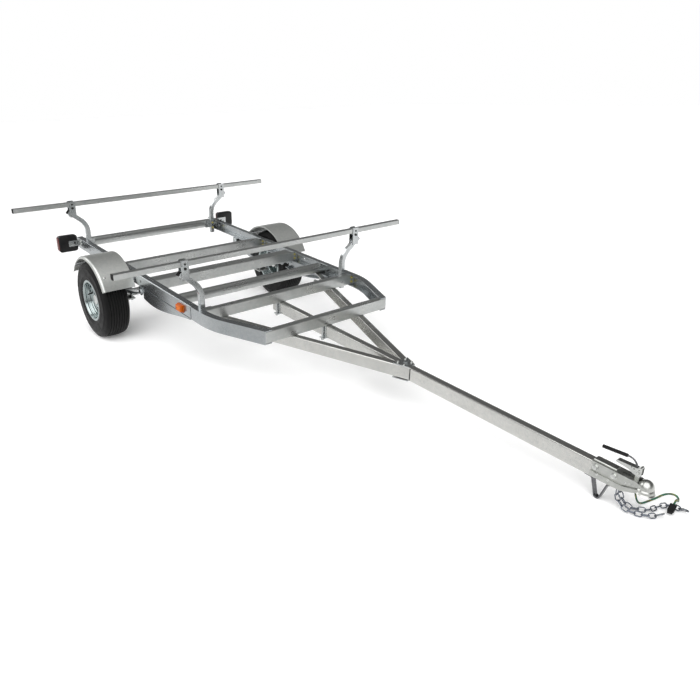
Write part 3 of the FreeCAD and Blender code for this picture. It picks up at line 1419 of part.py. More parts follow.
pitch, wheel_centre = parking_placement(parts["foot"])
parts["safety_chain_left"] = safety_chain(1, chain_left_shares, chain_left_links)
parts["safety_chain_right"] = safety_chain(-1, chain_right_shares, chain_right_links)
for name in ("tyre_left", "tyre_right"):
    parts[name].rotate(wheel_centre, Vector(0, 1, 0), -pitch)
for shape in parts.values():
    shape.rotate(wheel_centre, Vector(0, 1, 0), pitch)
    shape.translate(Vector(0, 0, axle_drop + tyre_radius))
boxes = [shape.optimalBoundingBox(False, False) for shape in parts.values()]
middle_x = (min(box.XMin for box in boxes) + max(box.XMax for box in boxes)) / 2
for shape in parts.values():
    shape.translate(Vector(-middle_x, 0, 0))
parts["coupler_body"] = fused([parts["coupler_body"], harness_clip()])
parts["harness"] = harness()
parts["trailer_plug"] = trailer_plug()
for name, shape in parts.items():
    shape.exportStep("parts/" + name + ".step")
print("pitch", round(pitch, 3), "shift", round(middle_x, 2), "nodes", len(parts))
for name, shape in parts.items():
    box = shape.optimalBoundingBox(False, False)
    print(name, len(shape.Solids), shape.isValid(), round(shape.Volume),
          [round(value, 1) for value in (box.XMin, box.XMax, box.YMin, box.YMax, box.ZMin, box.ZMax)])
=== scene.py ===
"""Looks of a galvanised load-bar boat trailer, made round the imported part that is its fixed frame."""

import json
import math

import bmesh
import bpy
from mathutils import Matrix, Vector


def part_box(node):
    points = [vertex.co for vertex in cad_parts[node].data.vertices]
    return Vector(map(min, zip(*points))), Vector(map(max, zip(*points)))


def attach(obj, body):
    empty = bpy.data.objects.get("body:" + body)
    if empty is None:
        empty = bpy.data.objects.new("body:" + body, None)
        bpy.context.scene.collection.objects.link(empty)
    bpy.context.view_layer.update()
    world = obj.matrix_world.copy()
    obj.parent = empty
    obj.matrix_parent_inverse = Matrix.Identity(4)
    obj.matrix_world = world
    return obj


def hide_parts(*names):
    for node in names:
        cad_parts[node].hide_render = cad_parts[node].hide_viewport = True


bl_info = {
    "name": "Boat trailer finish",
    "version": (1, 0, 0),
    "blender": (4, 5, 0),
    "location": "3D View > Sidebar > Trailer",
    "description": "Adds tyres, fasteners, chains, wiring and finishes to a galvanised boat trailer",
    "category": "Object",
}

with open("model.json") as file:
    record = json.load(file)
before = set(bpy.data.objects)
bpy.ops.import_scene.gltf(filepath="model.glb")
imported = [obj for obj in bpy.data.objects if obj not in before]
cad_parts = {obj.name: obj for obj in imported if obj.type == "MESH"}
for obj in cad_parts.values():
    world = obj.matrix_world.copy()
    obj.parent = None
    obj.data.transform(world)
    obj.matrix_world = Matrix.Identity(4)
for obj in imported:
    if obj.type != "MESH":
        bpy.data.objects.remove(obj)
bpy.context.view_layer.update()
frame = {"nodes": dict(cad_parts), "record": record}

MM = 0.001
SIDES = ((1, "left"), (-1, "right"))

# Places in millimetres in the level frame: x forward from the axle, z up from the top of the side rails
AXLE_DROP = 217.0
TYRE_RADIUS = 252.0
WHEEL_Y = 692.0
RAIL_Y = 562.0
UPRIGHT_Y = 506.7


def level_to_parked():
    """The move from the level frame, in millimetres, to the parked trailer's frame in metres."""
    low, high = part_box("tyre_right")
    rise = [mount["axis"] for mount in frame["record"]["mounts"] if mount["name"] == "load_bar_front_top"][0]
    pitch = math.atan2(rise[0], rise[2])
    axle = Vector(((low.x + high.x) / 2, 0, TYRE_RADIUS * MM))
    return (Matrix.Translation(axle) @ Matrix.Rotation(pitch, 4, "Y")
            @ Matrix.Translation((0, 0, AXLE_DROP * MM)) @ Matrix.Scale(MM, 4))


LEVEL = level_to_parked()


# Colours and material nodes

def linear(code):
    """A colour written as an sRGB hex code, in linear light."""
    parts = [int(code[i:i + 2], 16) / 255 for i in (1, 3, 5)]
    return [c / 12.92 if c <= 0.04045 else ((c + 0.055) / 1.055) ** 2.4 for c in parts] + [1.0]


def add_node(tree, kind, inputs=None, out=0, **settings):
    """Adds a shader node with its settings, a ramp's (place, colour code) stops, and values or links for its
    sockets. Returns the output asked for."""
    node = tree.nodes.new("ShaderNode" + kind)
    for index, (place, code) in enumerate(settings.pop("stops", ())):
        stop = node.color_ramp.elements[index] if index < 2 else node.color_ramp.elements.new(place)
        stop.position = place
        stop.color = linear(code)
    for key, value in settings.items():
        setattr(node, key, value)
    for key, value in (inputs or {}).items():
        if isinstance(value, bpy.types.NodeSocket):
            tree.links.new(value, node.inputs[key])
        else:
            node.inputs[key].default_value = value
    return node.outputs[out] if node.outputs else None


def new_material(name):
    """An empty material and its node tree."""
    material = bpy.data.materials.new(name)
    material.use_nodes = True
    material.node_tree.nodes.clear()
    return material, material.node_tree


def seen_by(tree, *kinds):
    """One for rays of any of these kinds, else zero."""
    total = 0.0
    for kind in kinds:
        ray = add_node(tree, "LightPath", out="Is %s Ray" % kind)
        total = add_node(tree, "Math", {0: total, 1: ray}, operation="ADD", use_clamp=True)
    return total


def object_places(tree, scale=(1, 1, 1)):
    """Places on the object in metres, squeezed along an axis where a pattern runs long."""
    places = add_node(tree, "TexCoord", out="Object")
    return add_node(tree, "Mapping", {"Vector": places, "Scale": scale})


def per_mm(size):
    """The scale of a pattern whose blotches are about this many millimetres across."""
    return 1 / (size * MM)


# A wave texture makes about this many waves for each unit of its scale
WAVES_PER_SCALE = 3.2


def finish(material, bump, depth, strength, **surface):
    """Gives a material its surface and a bump whose depth is in millimetres."""
    tree = material.node_tree
    normal = add_node(tree, "Bump", {"Height": bump, "Distance": depth * MM, "Strength": strength})
    sockets = {key.replace("_", " "): value for key, value in surface.items()}
    shader = add_node(tree, "BsdfPrincipled", {**sockets, "Normal": normal})
    add_node(tree, "OutputMaterial", {"Surface": shader})
    return material


def galvanised(name, pale, dark, roughness, along=None, metal=1.0):
    """Hot-dip galvanised steel: soft grey, with a faint mottle from zinc crystals and drainage streaks."""
    material, tree = new_material(name)
    places = object_places(tree)
    # The bath drains in blotches of about 120 mm, and in streaks a few millimetres wide that run along the tube
    blotch = add_node(tree, "TexNoise", {"Vector": places, "Scale": per_mm(120), "Detail": 4})
    blotch = add_node(tree, "MapRange", {0: blotch, 1: 0.3, 2: 0.7, 3: 0, 4: 0.45})
    stretch = {None: (1, 1, 1), "x": (0.03, 1, 1), "y": (1, 0.03, 1)}[along]
    streak = add_node(tree, "TexNoise", {"Vector": object_places(tree, stretch), "Scale": per_mm(9), "Detail": 4,
                                         "Roughness": 0.6})
    mottle = add_node(tree, "Math", {0: streak, 1: 0.55, 2: blotch}, operation="MULTIPLY_ADD")
    colour = add_node(tree, "ValToRGB", {"Fac": mottle}, stops=((0.15, dark), (0.75, pale)))
    # Zinc crystals are 5 to 15 mm across and only just show
    crystals = add_node(tree, "TexVoronoi", {"Vector": places, "Scale": per_mm(11)}, out="Color")
    tint = add_node(tree, "ValToRGB", {"Fac": crystals}, stops=((0.0, "#F1F3F4"), (1.0, "#FFFFFF")))
    colour = add_node(tree, "Mix", {0: 1.0, 6: colour, 7: tint}, out=2, data_type="RGBA", blend_type="MULTIPLY")
    rough = add_node(tree, "MapRange", {0: mottle, 1: 0.2, 2: 0.75, 3: roughness + 0.04, 4: roughness - 0.02})
    # Where metal is under one, a thin dull oxide on weathered zinc gives some of the light back diffuse
    return finish(material, streak, 0.006, 0.2, Base_Color=colour, Metallic=metal, Roughness=rough)


def clouded(name, stops, roughness, cloud, grain, depth, strength, cloud_roughness=0.5, **surface):
    """A nearly even material: a cloud and a grain, each (millimetres, detail), vary its colour and relief."""
    material, tree = new_material(name)
    places = object_places(tree)
    cloud = add_node(tree, "TexNoise", {"Vector": places, "Scale": per_mm(cloud[0]), "Detail": cloud[1],
                                        "Roughness": cloud_roughness})
    grain = add_node(tree, "TexNoise", {"Vector": places, "Scale": per_mm(grain[0]), "Detail": grain[1]})
    colour = add_node(tree, "ValToRGB", {"Fac": cloud}, stops=stops)
    rough = add_node(tree, "MapRange", {0: cloud, 1: 0.3, 2: 0.7, 3: roughness[0], 4: roughness[1]})
    return finish(material, grain, depth, strength, Base_Color=colour, Roughness=rough, **surface)


def plain_metal(name, pale, dark, roughness, cloud=30):
    """A plated or bare metal, nearly even, with faint clouding and marks from handling."""
    return clouded(name, ((0.25, dark), (0.75, pale)), (roughness - 0.04, roughness + 0.06), (cloud, 3), (3, 2),
                   0.03, 0.4, Metallic=1.0)


def soft_plastic(name, pale, dark, roughness, grain=1.5, shine=0.5):
    """Moulded plastic, vinyl or rubber: even in colour, with a fine grain that softens its shine."""
    return clouded(name, ((0.3, dark), (0.7, pale)), (roughness - 0.05, roughness + 0.07), (40, 4), (grain, 2),
                   0.08, 0.5, IOR=1.5, Specular_IOR_Level=shine)


def tyre_rubber():
    """Vulcanised rubber: near black, dull, with mould marks and dust in the grain."""
    return clouded("tyre_rubber_vulcanised", ((0.3, "#060606"), (0.62, "#0B0B0B"), (0.8, "#111111")),
                   (0.42, 0.62), (35, 5), (2.5, 3), 0.15, 0.6, cloud_roughness=0.6, IOR=1.5,
                   Specular_IOR_Level=0.22)


def lens_plastic(name, pale, dark, rib_pitch):
    """Clear coloured acrylic with the fine moulded ribs of a lamp lens behind a smooth face."""
    material, tree = new_material(name)
    scale = per_mm(rib_pitch) / WAVES_PER_SCALE
    ribs = add_node(tree, "TexWave", {"Vector": object_places(tree), "Scale": scale}, out="Fac",
                    wave_type="BANDS", bands_direction="Y", wave_profile="SIN")
    colour = add_node(tree, "ValToRGB", {"Fac": ribs}, stops=((0.2, dark), (0.8, pale)))
    return finish(material, ribs, 0.3, 0.4, Base_Color=colour, Roughness=0.25, IOR=1.49, Specular_IOR_Level=0.3)


MATERIALS = {}


def make_materials():
    """Makes every finish on the trailer, under the name that the pieces ask for."""
    made = {
        # Dipped brackets and plates: pale grey with broad soft highlights and a faint mottle
        "galvanised_steel": galvanised("galvanised_steel_hot_dip", "#CBCDCD", "#BCBFBF", 0.26, None, 0.95),
        # On bent tube the zinc runs off clean, which leaves a smoother, sharper shine
        "galvanised_post": galvanised("galvanised_steel_bent_tube", "#C8CACA", "#B4B7B8", 0.2),
        # Rolled channel, streaked along the trailer and a shade darker from weather
        "galvanised_long": galvanised("galvanised_steel_rolled_lengthwise", "#BABDBE", "#ABAFB1", 0.24, "x",
                                      0.93),
        # Newer zinc on tongue and diagonals: the brightest steel on the trailer
        "galvanised_bright": galvanised("galvanised_steel_fresh", "#DEDDD9", "#D1D0CC", 0.24, "x", 0.95),
        # Tube across the trailer, streaked along itself and a little duller
        "galvanised_cross": galvanised("galvanised_steel_rolled_crosswise", "#C3C4C2", "#B4B6B4", 0.28, "y",
                                       0.9),
        # Mudguard sheet: satin, with a wide faint highlight over its curve
        "galvanised_sheet": galvanised("galvanised_sheet_rolled", "#D6D7D3", "#C9CBC7", 0.4, "y", 0.8),
        # Pressed coupler under satin zinc plate: warm grey and evenly bright
        "coupler_zinc": plain_metal("coupler_zinc_plate_satin", "#CDCECA", "#B4B6B2", 0.3),
        # Dull zinc on foot and latch handle, which reads as dark steel
        "steel_dark": plain_metal("steel_strap_dull_zinc", "#7E7E81", "#5C5D60", 0.26),
        # Bronze chromate on the cast ball clamp: brownish and soft
        "clamp_bronze": plain_metal("ball_clamp_chromate_bronze", "#8F8474", "#6F665A", 0.34),
        # Bright zinc plate on bolts and hubs: small sharp glints
        "zinc_plate": plain_metal("zinc_plate_bright", "#DCDDDA", "#C8CAC8", 0.22),
        # Black passivated zinc: nearly black with a metal shine
        "zinc_dark": plain_metal("zinc_black_passivated", "#4A4A48", "#343432", 0.4),
        # Yellow chromate on the left side's bolts: a pale gold glint
        "zinc_yellow": plain_metal("zinc_yellow_chromate", "#D8CE8E", "#C2B878", 0.28),
        # Snap hooks: grey zinc, glossy and uneven
        "zinc_hook": plain_metal("snap_hook_zinc", "#8E9297", "#5E6268", 0.2, 8),
        # Galvanised rims: cool grey with strong contrast in their rings
        "rim_steel": plain_metal("rim_galvanised_bright", "#BCC5C4", "#8E999A", 0.21, 45),
        # Blue-passivated chain: cool and dark between bright glints
        "chain_steel": plain_metal("chain_zinc_blue", "#9A9FA9", "#585D67", 0.22, 12),
        "tyre_rubber": tyre_rubber(),
        # Moulded caps: black and matt
        "cap_plastic": soft_plastic("cap_plastic_moulded", "#0B0B0B", "#060606", 0.6, shine=0.15),
        # Lamp housings: black with a soft sheen
        "lamp_plastic": soft_plastic("lamp_housing_abs", "#151516", "#0C0C0D", 0.4, shine=0.4),
        # Dipped vinyl grip: black and waxy, with a coarser grain
        "grip_vinyl": soft_plastic("grip_dipped_vinyl", "#0D0D0D", "#060606", 0.42, 3, shine=0.35),
        # The plug's rubber: black and dull
        "plug_rubber": soft_plastic("plug_rubber_moulded", "#101010", "#090909", 0.5, shine=0.35),
        # Lens acrylic: deep red and clear amber over fine ribs
        "red_lens": lens_plastic("lens_acrylic_red", "#6E0A0A", "#400505", 4),
        "amber_lens": lens_plastic("lens_acrylic_amber", "#E87400", "#A84600", 6),
        # Wire insulation: plain flat colours with a little shine
        "cable_jacket": soft_plastic("cable_jacket_pvc_green", "#3F7459", "#2C5743", 0.45, 4),
        "wire_green": soft_plastic("wire_pvc_green", "#347A5E", "#226049", 0.4, 4),
        "wire_yellow": soft_plastic("wire_pvc_yellow", "#B9A53C", "#98852B", 0.4, 4),
        "wire_brown": soft_plastic("wire_pvc_brown", "#5A3D22", "#422B17", 0.4, 4),
    }
    MATERIALS.update(made)


# Mesh helpers

# In millimetres: the washers' thickness and how far a dome's closed foot reaches into the face it stands on
WASHER_WALL, DOME_FOOT = 1.6, 0.4
# As shares: a head's chamfer of its height, and a stud's far end of its radius
HEX_CHAMFER, STUD_TAPER = 0.16, 0.82
# As shares of the thread: a bolt head across its flats, its height and its washer's radius
BOLT_ACROSS, BOLT_HEIGHT, BOLT_WASHER = 1.62, 0.68, 1.15


def make_piece(name, bm, material, body, space=LEVEL, sharp_deg=34, replaces=()):
    """Turns a bmesh into a finished piece that rides on a body. Its space takes it to the parked trailer."""
    bm.transform(space)
    for face in bm.faces:
        face.smooth = True
    limit = math.radians(sharp_deg)
    for edge in bm.edges:
        edge.smooth = len(edge.link_faces) != 2 or edge.calc_face_angle(0) < limit
    mesh = bpy.data.meshes.new(name)
    bm.to_mesh(mesh)
    bm.free()
    piece = bpy.data.objects.new(name, mesh)
    bpy.context.scene.collection.objects.link(piece)
    mesh.materials.append(MATERIALS[material])
    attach(piece, body)
    for node in replaces:
        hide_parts(node)
    return piece


def facing(direction):
    """A turn that takes +Z to a direction."""
    return Vector((0, 0, 1)).rotation_difference(Vector(direction)).to_matrix().to_4x4()


def edges_of(verts):
    """Every edge that ends in one of the vertices."""
    return list({edge for vert in verts for edge in vert.link_edges})


def rounded(bm, edges, size, segments):
    """Rounds edges over."""
    bmesh.ops.bevel(bm, geom=edges, offset=size, segments=segments, profile=0.5, affect="EDGES", material=-1)


def spun(bm, outline, centre, axis, steps):
    """Spins a closed outline of (radius, along) places about an axis."""
    axis = Vector(axis).normalized()
    turn = facing(axis)
    verts = [bm.verts.new(Vector(centre) + turn @ Vector((radius, 0, along))) for radius, along in outline]
    edges = [bm.edges.new(pair) for pair in zip(verts, verts[1:] + verts[:1])]
    bmesh.ops.spin(bm, geom=verts + edges, cent=Vector(centre), axis=axis, dvec=(0, 0, 0), angle=math.tau,
                   steps=steps, use_merge=True, use_duplicate=False)
    bmesh.ops.remove_doubles(bm, verts=bm.verts, dist=0.001)
    bmesh.ops.recalc_face_normals(bm, faces=bm.faces)


def far_side(outline):
    """The same places on the wheel's other side, from the last to the first."""
    return [(radius, -along) for radius, along in reversed(outline)]


def add_hex(bm, place, direction, across, height, washer=0.0):
    """A hexagon head or nut with chamfered corners standing on a point, with a washer under it."""
    turn = facing(direction)
    along = Vector(direction).normalized()
    radius = across / 2 / math.cos(math.pi / 6)
    base = Vector(place)
    if washer:
        bmesh.ops.create_cone(bm, cap_ends=True, segments=20, radius1=washer, radius2=washer, depth=WASHER_WALL,
                              matrix=Matrix.Translation(base + along * WASHER_WALL / 2) @ turn)
        base = base + along * WASHER_WALL
    head = bmesh.ops.create_cone(bm, cap_ends=True, segments=6, radius1=radius, radius2=radius, depth=height,
                                 matrix=Matrix.Translation(base + along * height / 2) @ turn)["verts"]
    rim = [edge for edge in edges_of(head) if all((v.co - base).dot(along) > height * 0.9 for v in edge.verts)]
    rounded(bm, rim, height * HEX_CHAMFER, 2)
    return base + along * height


def add_stud(bm, place, direction, radius, length):
    """A round rod standing on a point, a little thinner at its far end."""
    middle = Vector(place) + Vector(direction).normalized() * length / 2
    bmesh.ops.create_cone(bm, cap_ends=True, segments=16, radius1=radius, radius2=radius * STUD_TAPER,
                          depth=length, matrix=Matrix.Translation(middle) @ facing(direction))


def add_bolt(bm, place, direction, thread, length=0.0):
    """A hexagon bolt head with its washer, or a nut with the thread's end standing out of it."""
    top = add_hex(bm, place, direction, thread * BOLT_ACROSS, thread * BOLT_HEIGHT, washer=thread * BOLT_WASHER)
    if length:
        add_stud(bm, top, direction, thread / 2, length)


def add_dome(bm, place, direction, radius, height):
    """A low round head standing on a point."""
    verts = bmesh.ops.create_uvsphere(bm, u_segments=20, v_segments=10, radius=radius)["verts"]
    upper = [vert for vert in verts if vert.co.z > 0]
    lower = [vert for vert in verts if vert.co.z < 0]
    bmesh.ops.scale(bm, vec=(1, 1, height / radius), verts=upper)
    bmesh.ops.scale(bm, vec=(1, 1, DOME_FOOT / radius), verts=lower)
    bmesh.ops.transform(bm, matrix=Matrix.Translation(Vector(place)) @ facing(direction), verts=verts)


def level_box(node):
    """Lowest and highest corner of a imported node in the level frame, in millimetres."""
    back = LEVEL.inverted()
    places = [back @ vertex.co for vertex in frame["nodes"][node].data.vertices]
    return [Vector(pick(place[axis] for place in places) for axis in range(3)) for pick in (min, max)]


def sided(side, x, y, z):
    """Lowest and highest corner of the space between three ranges, with y measured outward on a side."""
    near, far = sorted((side * y[0], side * y[1]))
    return (x[0], near, z[0]), (x[1], far, z[1])


def add_block(bm, low, high):
    """A block between two corners. Returns its vertices."""
    low, high = Vector(low), Vector(high)
    size = Matrix.Diagonal((*(high - low), 1))
    return bmesh.ops.create_cube(bm, size=1, matrix=Matrix.Translation((low + high) / 2) @ size)["verts"]


def add_pad(bm, low, high, axis, corner, rim_round):
    """A plate with large corners seen along an axis and a small round on its rims."""
    before = set(bm.faces)
    reach = (high[axis] - low[axis]) * 0.9
    posts = [edge for edge in edges_of(add_block(bm, low, high))
             if abs((edge.verts[0].co - edge.verts[1].co)[axis]) > reach]
    rounded(bm, posts, corner, 5)
    bm.normal_update()
    flats = [face for face in set(bm.faces) - before if abs(face.normal[axis]) > 0.99]
    rounded(bm, list({edge for face in flats for edge in face.edges}), rim_round, 3)


# Camera, light and ground

# The camera's place and turn in the level frame, found by fitting the trailer's known sizes to the photograph
CAMERA_PLACE = (4052.65, -2134.03, 1353.51)
CAMERA_YAW, CAMERA_TILT, CAMERA_ROLL = (math.radians(turn) for turn in (139.51, 24.11, 1.7))
CAMERA_SHIFT = (0.0192, -0.0190)
SENSOR_WIDTH = 36

# The floor's size and how far it lies below zero, in metres, and the paper's own glow
FLOOR_SIZE, FLOOR_DROP, FLOOR_LIFT = 40, 0.0005, 0.13

# Bright round the horizon like paper sweeps, darker overhead like a studio ceiling
STUDIO_GLOW = ((0.0, "#FFFFFF"), (0.05, "#E0E0E0"), (0.2, "#8A8A8A"), (0.31, "#7A7A7A"), (0.38, "#565656"),
               (0.6, "#484848"), (1.0, "#909090"))

# The way to each light, and how many degrees wide it looks
KEY_LIGHT = ((0.45, -0.75, 1.25), 80)
EDGE_LIGHT = ((-0.75, -0.38, 0.54), 30)


class StageSettings(bpy.types.PropertyGroup):
    """What a user would change in the camera, the light and the floor"""
    lens: bpy.props.FloatProperty(name="Lens", description="Focal length of the camera", default=33.84,
                                  unit="CAMERA")
    sun: bpy.props.FloatProperty(name="Key light", description="Strength of the soft key light", default=2.75,
                                 min=0)
    edge: bpy.props.FloatProperty(name="Edge light", description="Strength of the light on the tubes' edges",
                                  default=0.55, min=0)
    sky: bpy.props.FloatProperty(name="Sky light", description="Strength of the surrounding light", default=1.0,
                                 min=0)
    floor_colour: bpy.props.FloatVectorProperty(name="Floor", description="Colour of the floor",
                                                subtype="COLOR", default=(0.95, 0.95, 0.95))


class TRAILER_OT_stage(bpy.types.Operator):
    """Places the camera at the photograph's angle, the pale floor and the soft light"""
    bl_idname = "trailer.stage"
    bl_label = "Camera, light and floor"

    def execute(self, context):
        settings = context.scene.trailer_stage
        self.place_camera(context, settings)
        self.place_floor(context, settings)
        self.light_room(context, settings)
        self.add_sun(context, "key", settings.sun, *KEY_LIGHT)
        # A narrower light behind the trailer draws the bright line along the tubes' rounded edges
        self.add_sun(context, "edge", settings.edge, *EDGE_LIGHT)
        context.scene.view_settings.view_transform = "Standard"
        return {"FINISHED"}

    def place_camera(self, context, settings):
        level_share = math.cos(CAMERA_TILT)
        ahead = Vector((math.cos(CAMERA_YAW) * level_share, math.sin(CAMERA_YAW) * level_share,
                        -math.sin(CAMERA_TILT)))
        right = ahead.cross(Vector((0, 0, 1))).normalized()
        up = right.cross(ahead)
        turned_right = right * math.cos(CAMERA_ROLL) + up * math.sin(CAMERA_ROLL)
        turned_up = up * math.cos(CAMERA_ROLL) - right * math.sin(CAMERA_ROLL)
        pose = Matrix((turned_right, turned_up, -ahead)).transposed().to_4x4()
        place = Matrix.Translation(LEVEL @ Vector(CAMERA_PLACE))
        camera_data = bpy.data.cameras.new("camera")
        camera_data.sensor_width = SENSOR_WIDTH
        camera_data.lens = settings.lens
        camera_data.shift_x, camera_data.shift_y = CAMERA_SHIFT
        camera_data.clip_end = 100
        camera = bpy.data.objects.new("camera", camera_data)
        context.scene.collection.objects.link(camera)
        camera.matrix_world = place @ LEVEL.to_3x3().normalized().to_4x4() @ pose
        context.scene.camera = camera

    def place_floor(self, context, settings):
        bm = bmesh.new()
        bmesh.ops.create_grid(bm, x_segments=1, y_segments=1, size=FLOOR_SIZE)
        bmesh.ops.translate(bm, verts=bm.verts, vec=(0, 0, -FLOOR_DROP))
        mesh = bpy.data.meshes.new("floor")
        bm.to_mesh(mesh)
        bm.free()
        floor = bpy.data.objects.new("floor", mesh)
        context.scene.collection.objects.link(floor)
        # Pale backdrop paper: matt and white, so only the soft shadow shows on it
        material, tree = new_material("floor_paper")
        colour = [*settings.floor_colour, 1.0]
        paper = add_node(tree, "BsdfDiffuse", {"Color": colour, "Roughness": 1.0})
        lift = add_node(tree, "Emission", {"Color": linear("#FFFFFF"), "Strength": FLOOR_LIFT})
        lifted = add_node(tree, "AddShader", {0: paper, 1: lift})
        seen = seen_by(tree, "Camera", "Glossy", "Transmission")
        shown = add_node(tree, "MixShader", {0: seen, 1: paper, 2: lifted})
        add_node(tree, "OutputMaterial", {"Surface": shown})
        mesh.materials.append(material)

    def light_room(self, context, settings):
        world = bpy.data.worlds.new("studio")
        context.scene.world = world
        world.use_nodes = True
        tree = world.node_tree
        tree.nodes.clear()
        ways = add_node(tree, "TexCoord", out="Generated")
        height = add_node(tree, "SeparateXYZ", {"Vector": ways}, out="Z")
        glow = add_node(tree, "ValToRGB", {"Fac": height}, stops=STUDIO_GLOW)
        studio = add_node(tree, "Background", {"Color": glow, "Strength": settings.sky})
        paper = add_node(tree, "Background", {"Color": linear("#FFFFFF"), "Strength": 1.0})
        # Metal keeps the studio's grey ceiling, as in the photograph, and the white paper at its foot
        seen = seen_by(tree, "Camera", "Transmission")
        shown = add_node(tree, "MixShader", {0: seen, 1: studio, 2: paper})
        add_node(tree, "OutputWorld", {"Surface": shown})

    def add_sun(self, context, name, strength, way, width):
        sun_data = bpy.data.lights.new(name, "SUN")
        sun_data.energy = strength
        sun_data.angle = math.radians(width)
        sun = bpy.data.objects.new(name, sun_data)
        context.scene.collection.objects.link(sun)
        sun.matrix_world = facing(way)


# Wiring

# In metres on the parked trailer, from the clip at the coupler to the plug
HARNESS_ROUTE = (
    (1.9106, 0.0375, 0.1057), (1.9106, 0.0375, 0.0825), (1.9126, 0.041, 0.058), (1.9156, 0.048, 0.034),
    (1.9196, 0.061, 0.0135), (1.9246, 0.082, 0.005), (1.9306, 0.106, 0.004), (1.9376, 0.132, 0.0042),
    (1.9436, 0.158, 0.004), (1.9476, 0.183, 0.0042), (1.9536, 0.207, 0.004), (1.9666, 0.226, 0.0042),
    (1.9856, 0.23, 0.004), (2.0006, 0.216, 0.0042), (2.0086, 0.197, 0.006), (2.0126, 0.177, 0.016),
    (2.0156, 0.158, 0.0328), (2.0181, 0.14, 0.034), (2.0201, 0.124, 0.0275))

# The wires round the bundle, and in metres their radius, their distance from its middle and one turn's length
STRANDS = ("wire_green", "wire_yellow", "wire_brown", "wire_green")
STRAND_RADIUS, STRAND_OFFSET, STRAND_TWIST = 0.0014, 0.0024, 0.06


class WiringSettings(bpy.types.PropertyGroup):
    """What a user would change in the lighting wires"""
    diameter: bpy.props.FloatProperty(name="Bundle", description="Diameter of the wire bundle", default=0.007,
                                      unit="LENGTH")
    length: bpy.props.FloatProperty(name="Length", description="Free length of the bundle", default=0.412,
                                    unit="LENGTH")


def points_along(curve):
    """Places read from the curve's own spline, evenly enough for the strands to follow."""
    bare = curve.copy()
    bare.bevel_depth = 0
    guide = bpy.data.objects.new("wire_guide", bare)
    mesh = bpy.data.meshes.new_from_object(guide)
    places = [vertex.co.copy() for vertex in mesh.vertices]
    bpy.data.objects.remove(guide)
    bpy.data.curves.remove(bare)
    bpy.data.meshes.remove(mesh)
    return places


def add_strand(bm, places, start):
    """A round wire wound about a line of places from a starting angle, in metres."""
    side = Vector((1, 0, 0))
    run = 0.0
    rings = []
    for index, place in enumerate(places):
        before, after = places[max(index - 1, 0)], places[min(index + 1, len(places) - 1)]
        along = (after - before).normalized()
        side = (side - along * side.dot(along)).normalized()
        run += (place - before).length
        angle = start + math.tau * run / STRAND_TWIST
        across = along.cross(side)
        middle = place + (side * math.cos(angle) + across * math.sin(angle)) * STRAND_OFFSET
        pose = Matrix((side, across, along)).transposed().to_4x4()
        ring = bmesh.ops.create_circle(bm, cap_ends=index in (0, len(places) - 1), segments=8,
                                       radius=STRAND_RADIUS, matrix=Matrix.Translation(middle) @ pose)["verts"]
        edges = edges_of(ring)
        if rings:
            bmesh.ops.bridge_loops(bm, edges=rings[-1] + edges)
        rings.append(edges)
    bmesh.ops.recalc_face_normals(bm, faces=bm.faces)


class TRAILER_OT_wiring(bpy.types.Operator):
    """Lays the bundle of lighting wires from the coupler to its flat plug"""
    bl_idname = "trailer.wiring"
    bl_label = "Lighting wires"

    def execute(self, context):
        settings = context.scene.trailer_wiring
        curve = bpy.data.curves.new("wire_bundle", "CURVE")
        curve.dimensions = "3D"
        spline = curve.splines.new("NURBS")
        spline.points.add(len(HARNESS_ROUTE) - 1)
        for point, place in zip(spline.points, HARNESS_ROUTE):
            point.co = (*place, 1)
        spline.order_u = 3
        spline.use_endpoint_u = True
        spline.resolution_u = 12
        curve.bevel_depth = settings.diameter / 2
        curve.bevel_resolution = 4
        curve.use_fill_caps = True
        bundle = bpy.data.objects.new("wire_bundle", curve)
        context.scene.collection.objects.link(bundle)
        curve.materials.append(MATERIALS["cable_jacket"])
        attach(bundle, "chassis")
        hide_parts("harness")
        places = points_along(curve)
        for index, colour in enumerate(STRANDS):
            bm = bmesh.new()
            add_strand(bm, places, math.tau * index / len(STRANDS))
            name = "%s_strand_%d" % (colour, index + 1)
            make_piece(name, bm, colour, "chassis", space=Matrix(),
                                      sharp_deg=50)
        return {"FINISHED"}


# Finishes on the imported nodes

# For each finish, how the names of its nodes start; every other node takes the finish of its slot
NODE_FINISH = {
    "galvanised_long": ("side_rail", "front_rail", "gusset", "leaf_spring"),
    "galvanised_cross": ("crossmember", "load_bar", "axle"),
    "galvanised_bright": ("tongue", "diagonal"),
    "galvanised_post": ("upright_rear", "upright_front"),
    "galvanised_sheet": ("mudguard_left", "mudguard_right"),
    "rim_steel": ("rim",),
    "zinc_plate": ("hub",),
    "coupler_zinc": ("coupler_body",),
    "clamp_bronze": ("ball_clamp",),
    "steel_dark": ("latch_handle", "foot"),
}


def node_finish(name, slot):
    """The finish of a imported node. The clamps round the tongue aren't made of its steel."""
    for finish_name, starts in NODE_FINISH.items():
        if name.startswith(starts) and name != "tongue_clamps":
            return finish_name
    return slot


class TRAILER_OT_finishes(bpy.types.Operator):
    """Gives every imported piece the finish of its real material"""
    bl_idname = "trailer.finishes"
    bl_label = "Finishes"

    def execute(self, context):
        slots = {part["node"]: part["material_slot"] for part in frame["record"]["subparts"]}
        for name, node in frame["nodes"].items():
            node.data.materials.clear()
            node.data.materials.append(MATERIALS[node_finish(name, slots[name])])
        return {"FINISHED"}


# Tyres

TYRE_STEPS = 96
TREAD_RIBS, TREAD_HALF = 8, 67.0
# How far the crown falls to the shoulder and how late, then the ribs' rounded edges and the grooves' slope
CROWN_DROP, CROWN_POWER = 6.5, 2.4
RIB_EDGE_DROP, RIB_EDGE_WIDTH, GROOVE_SLOPE = 0.8, 1.2, 0.6

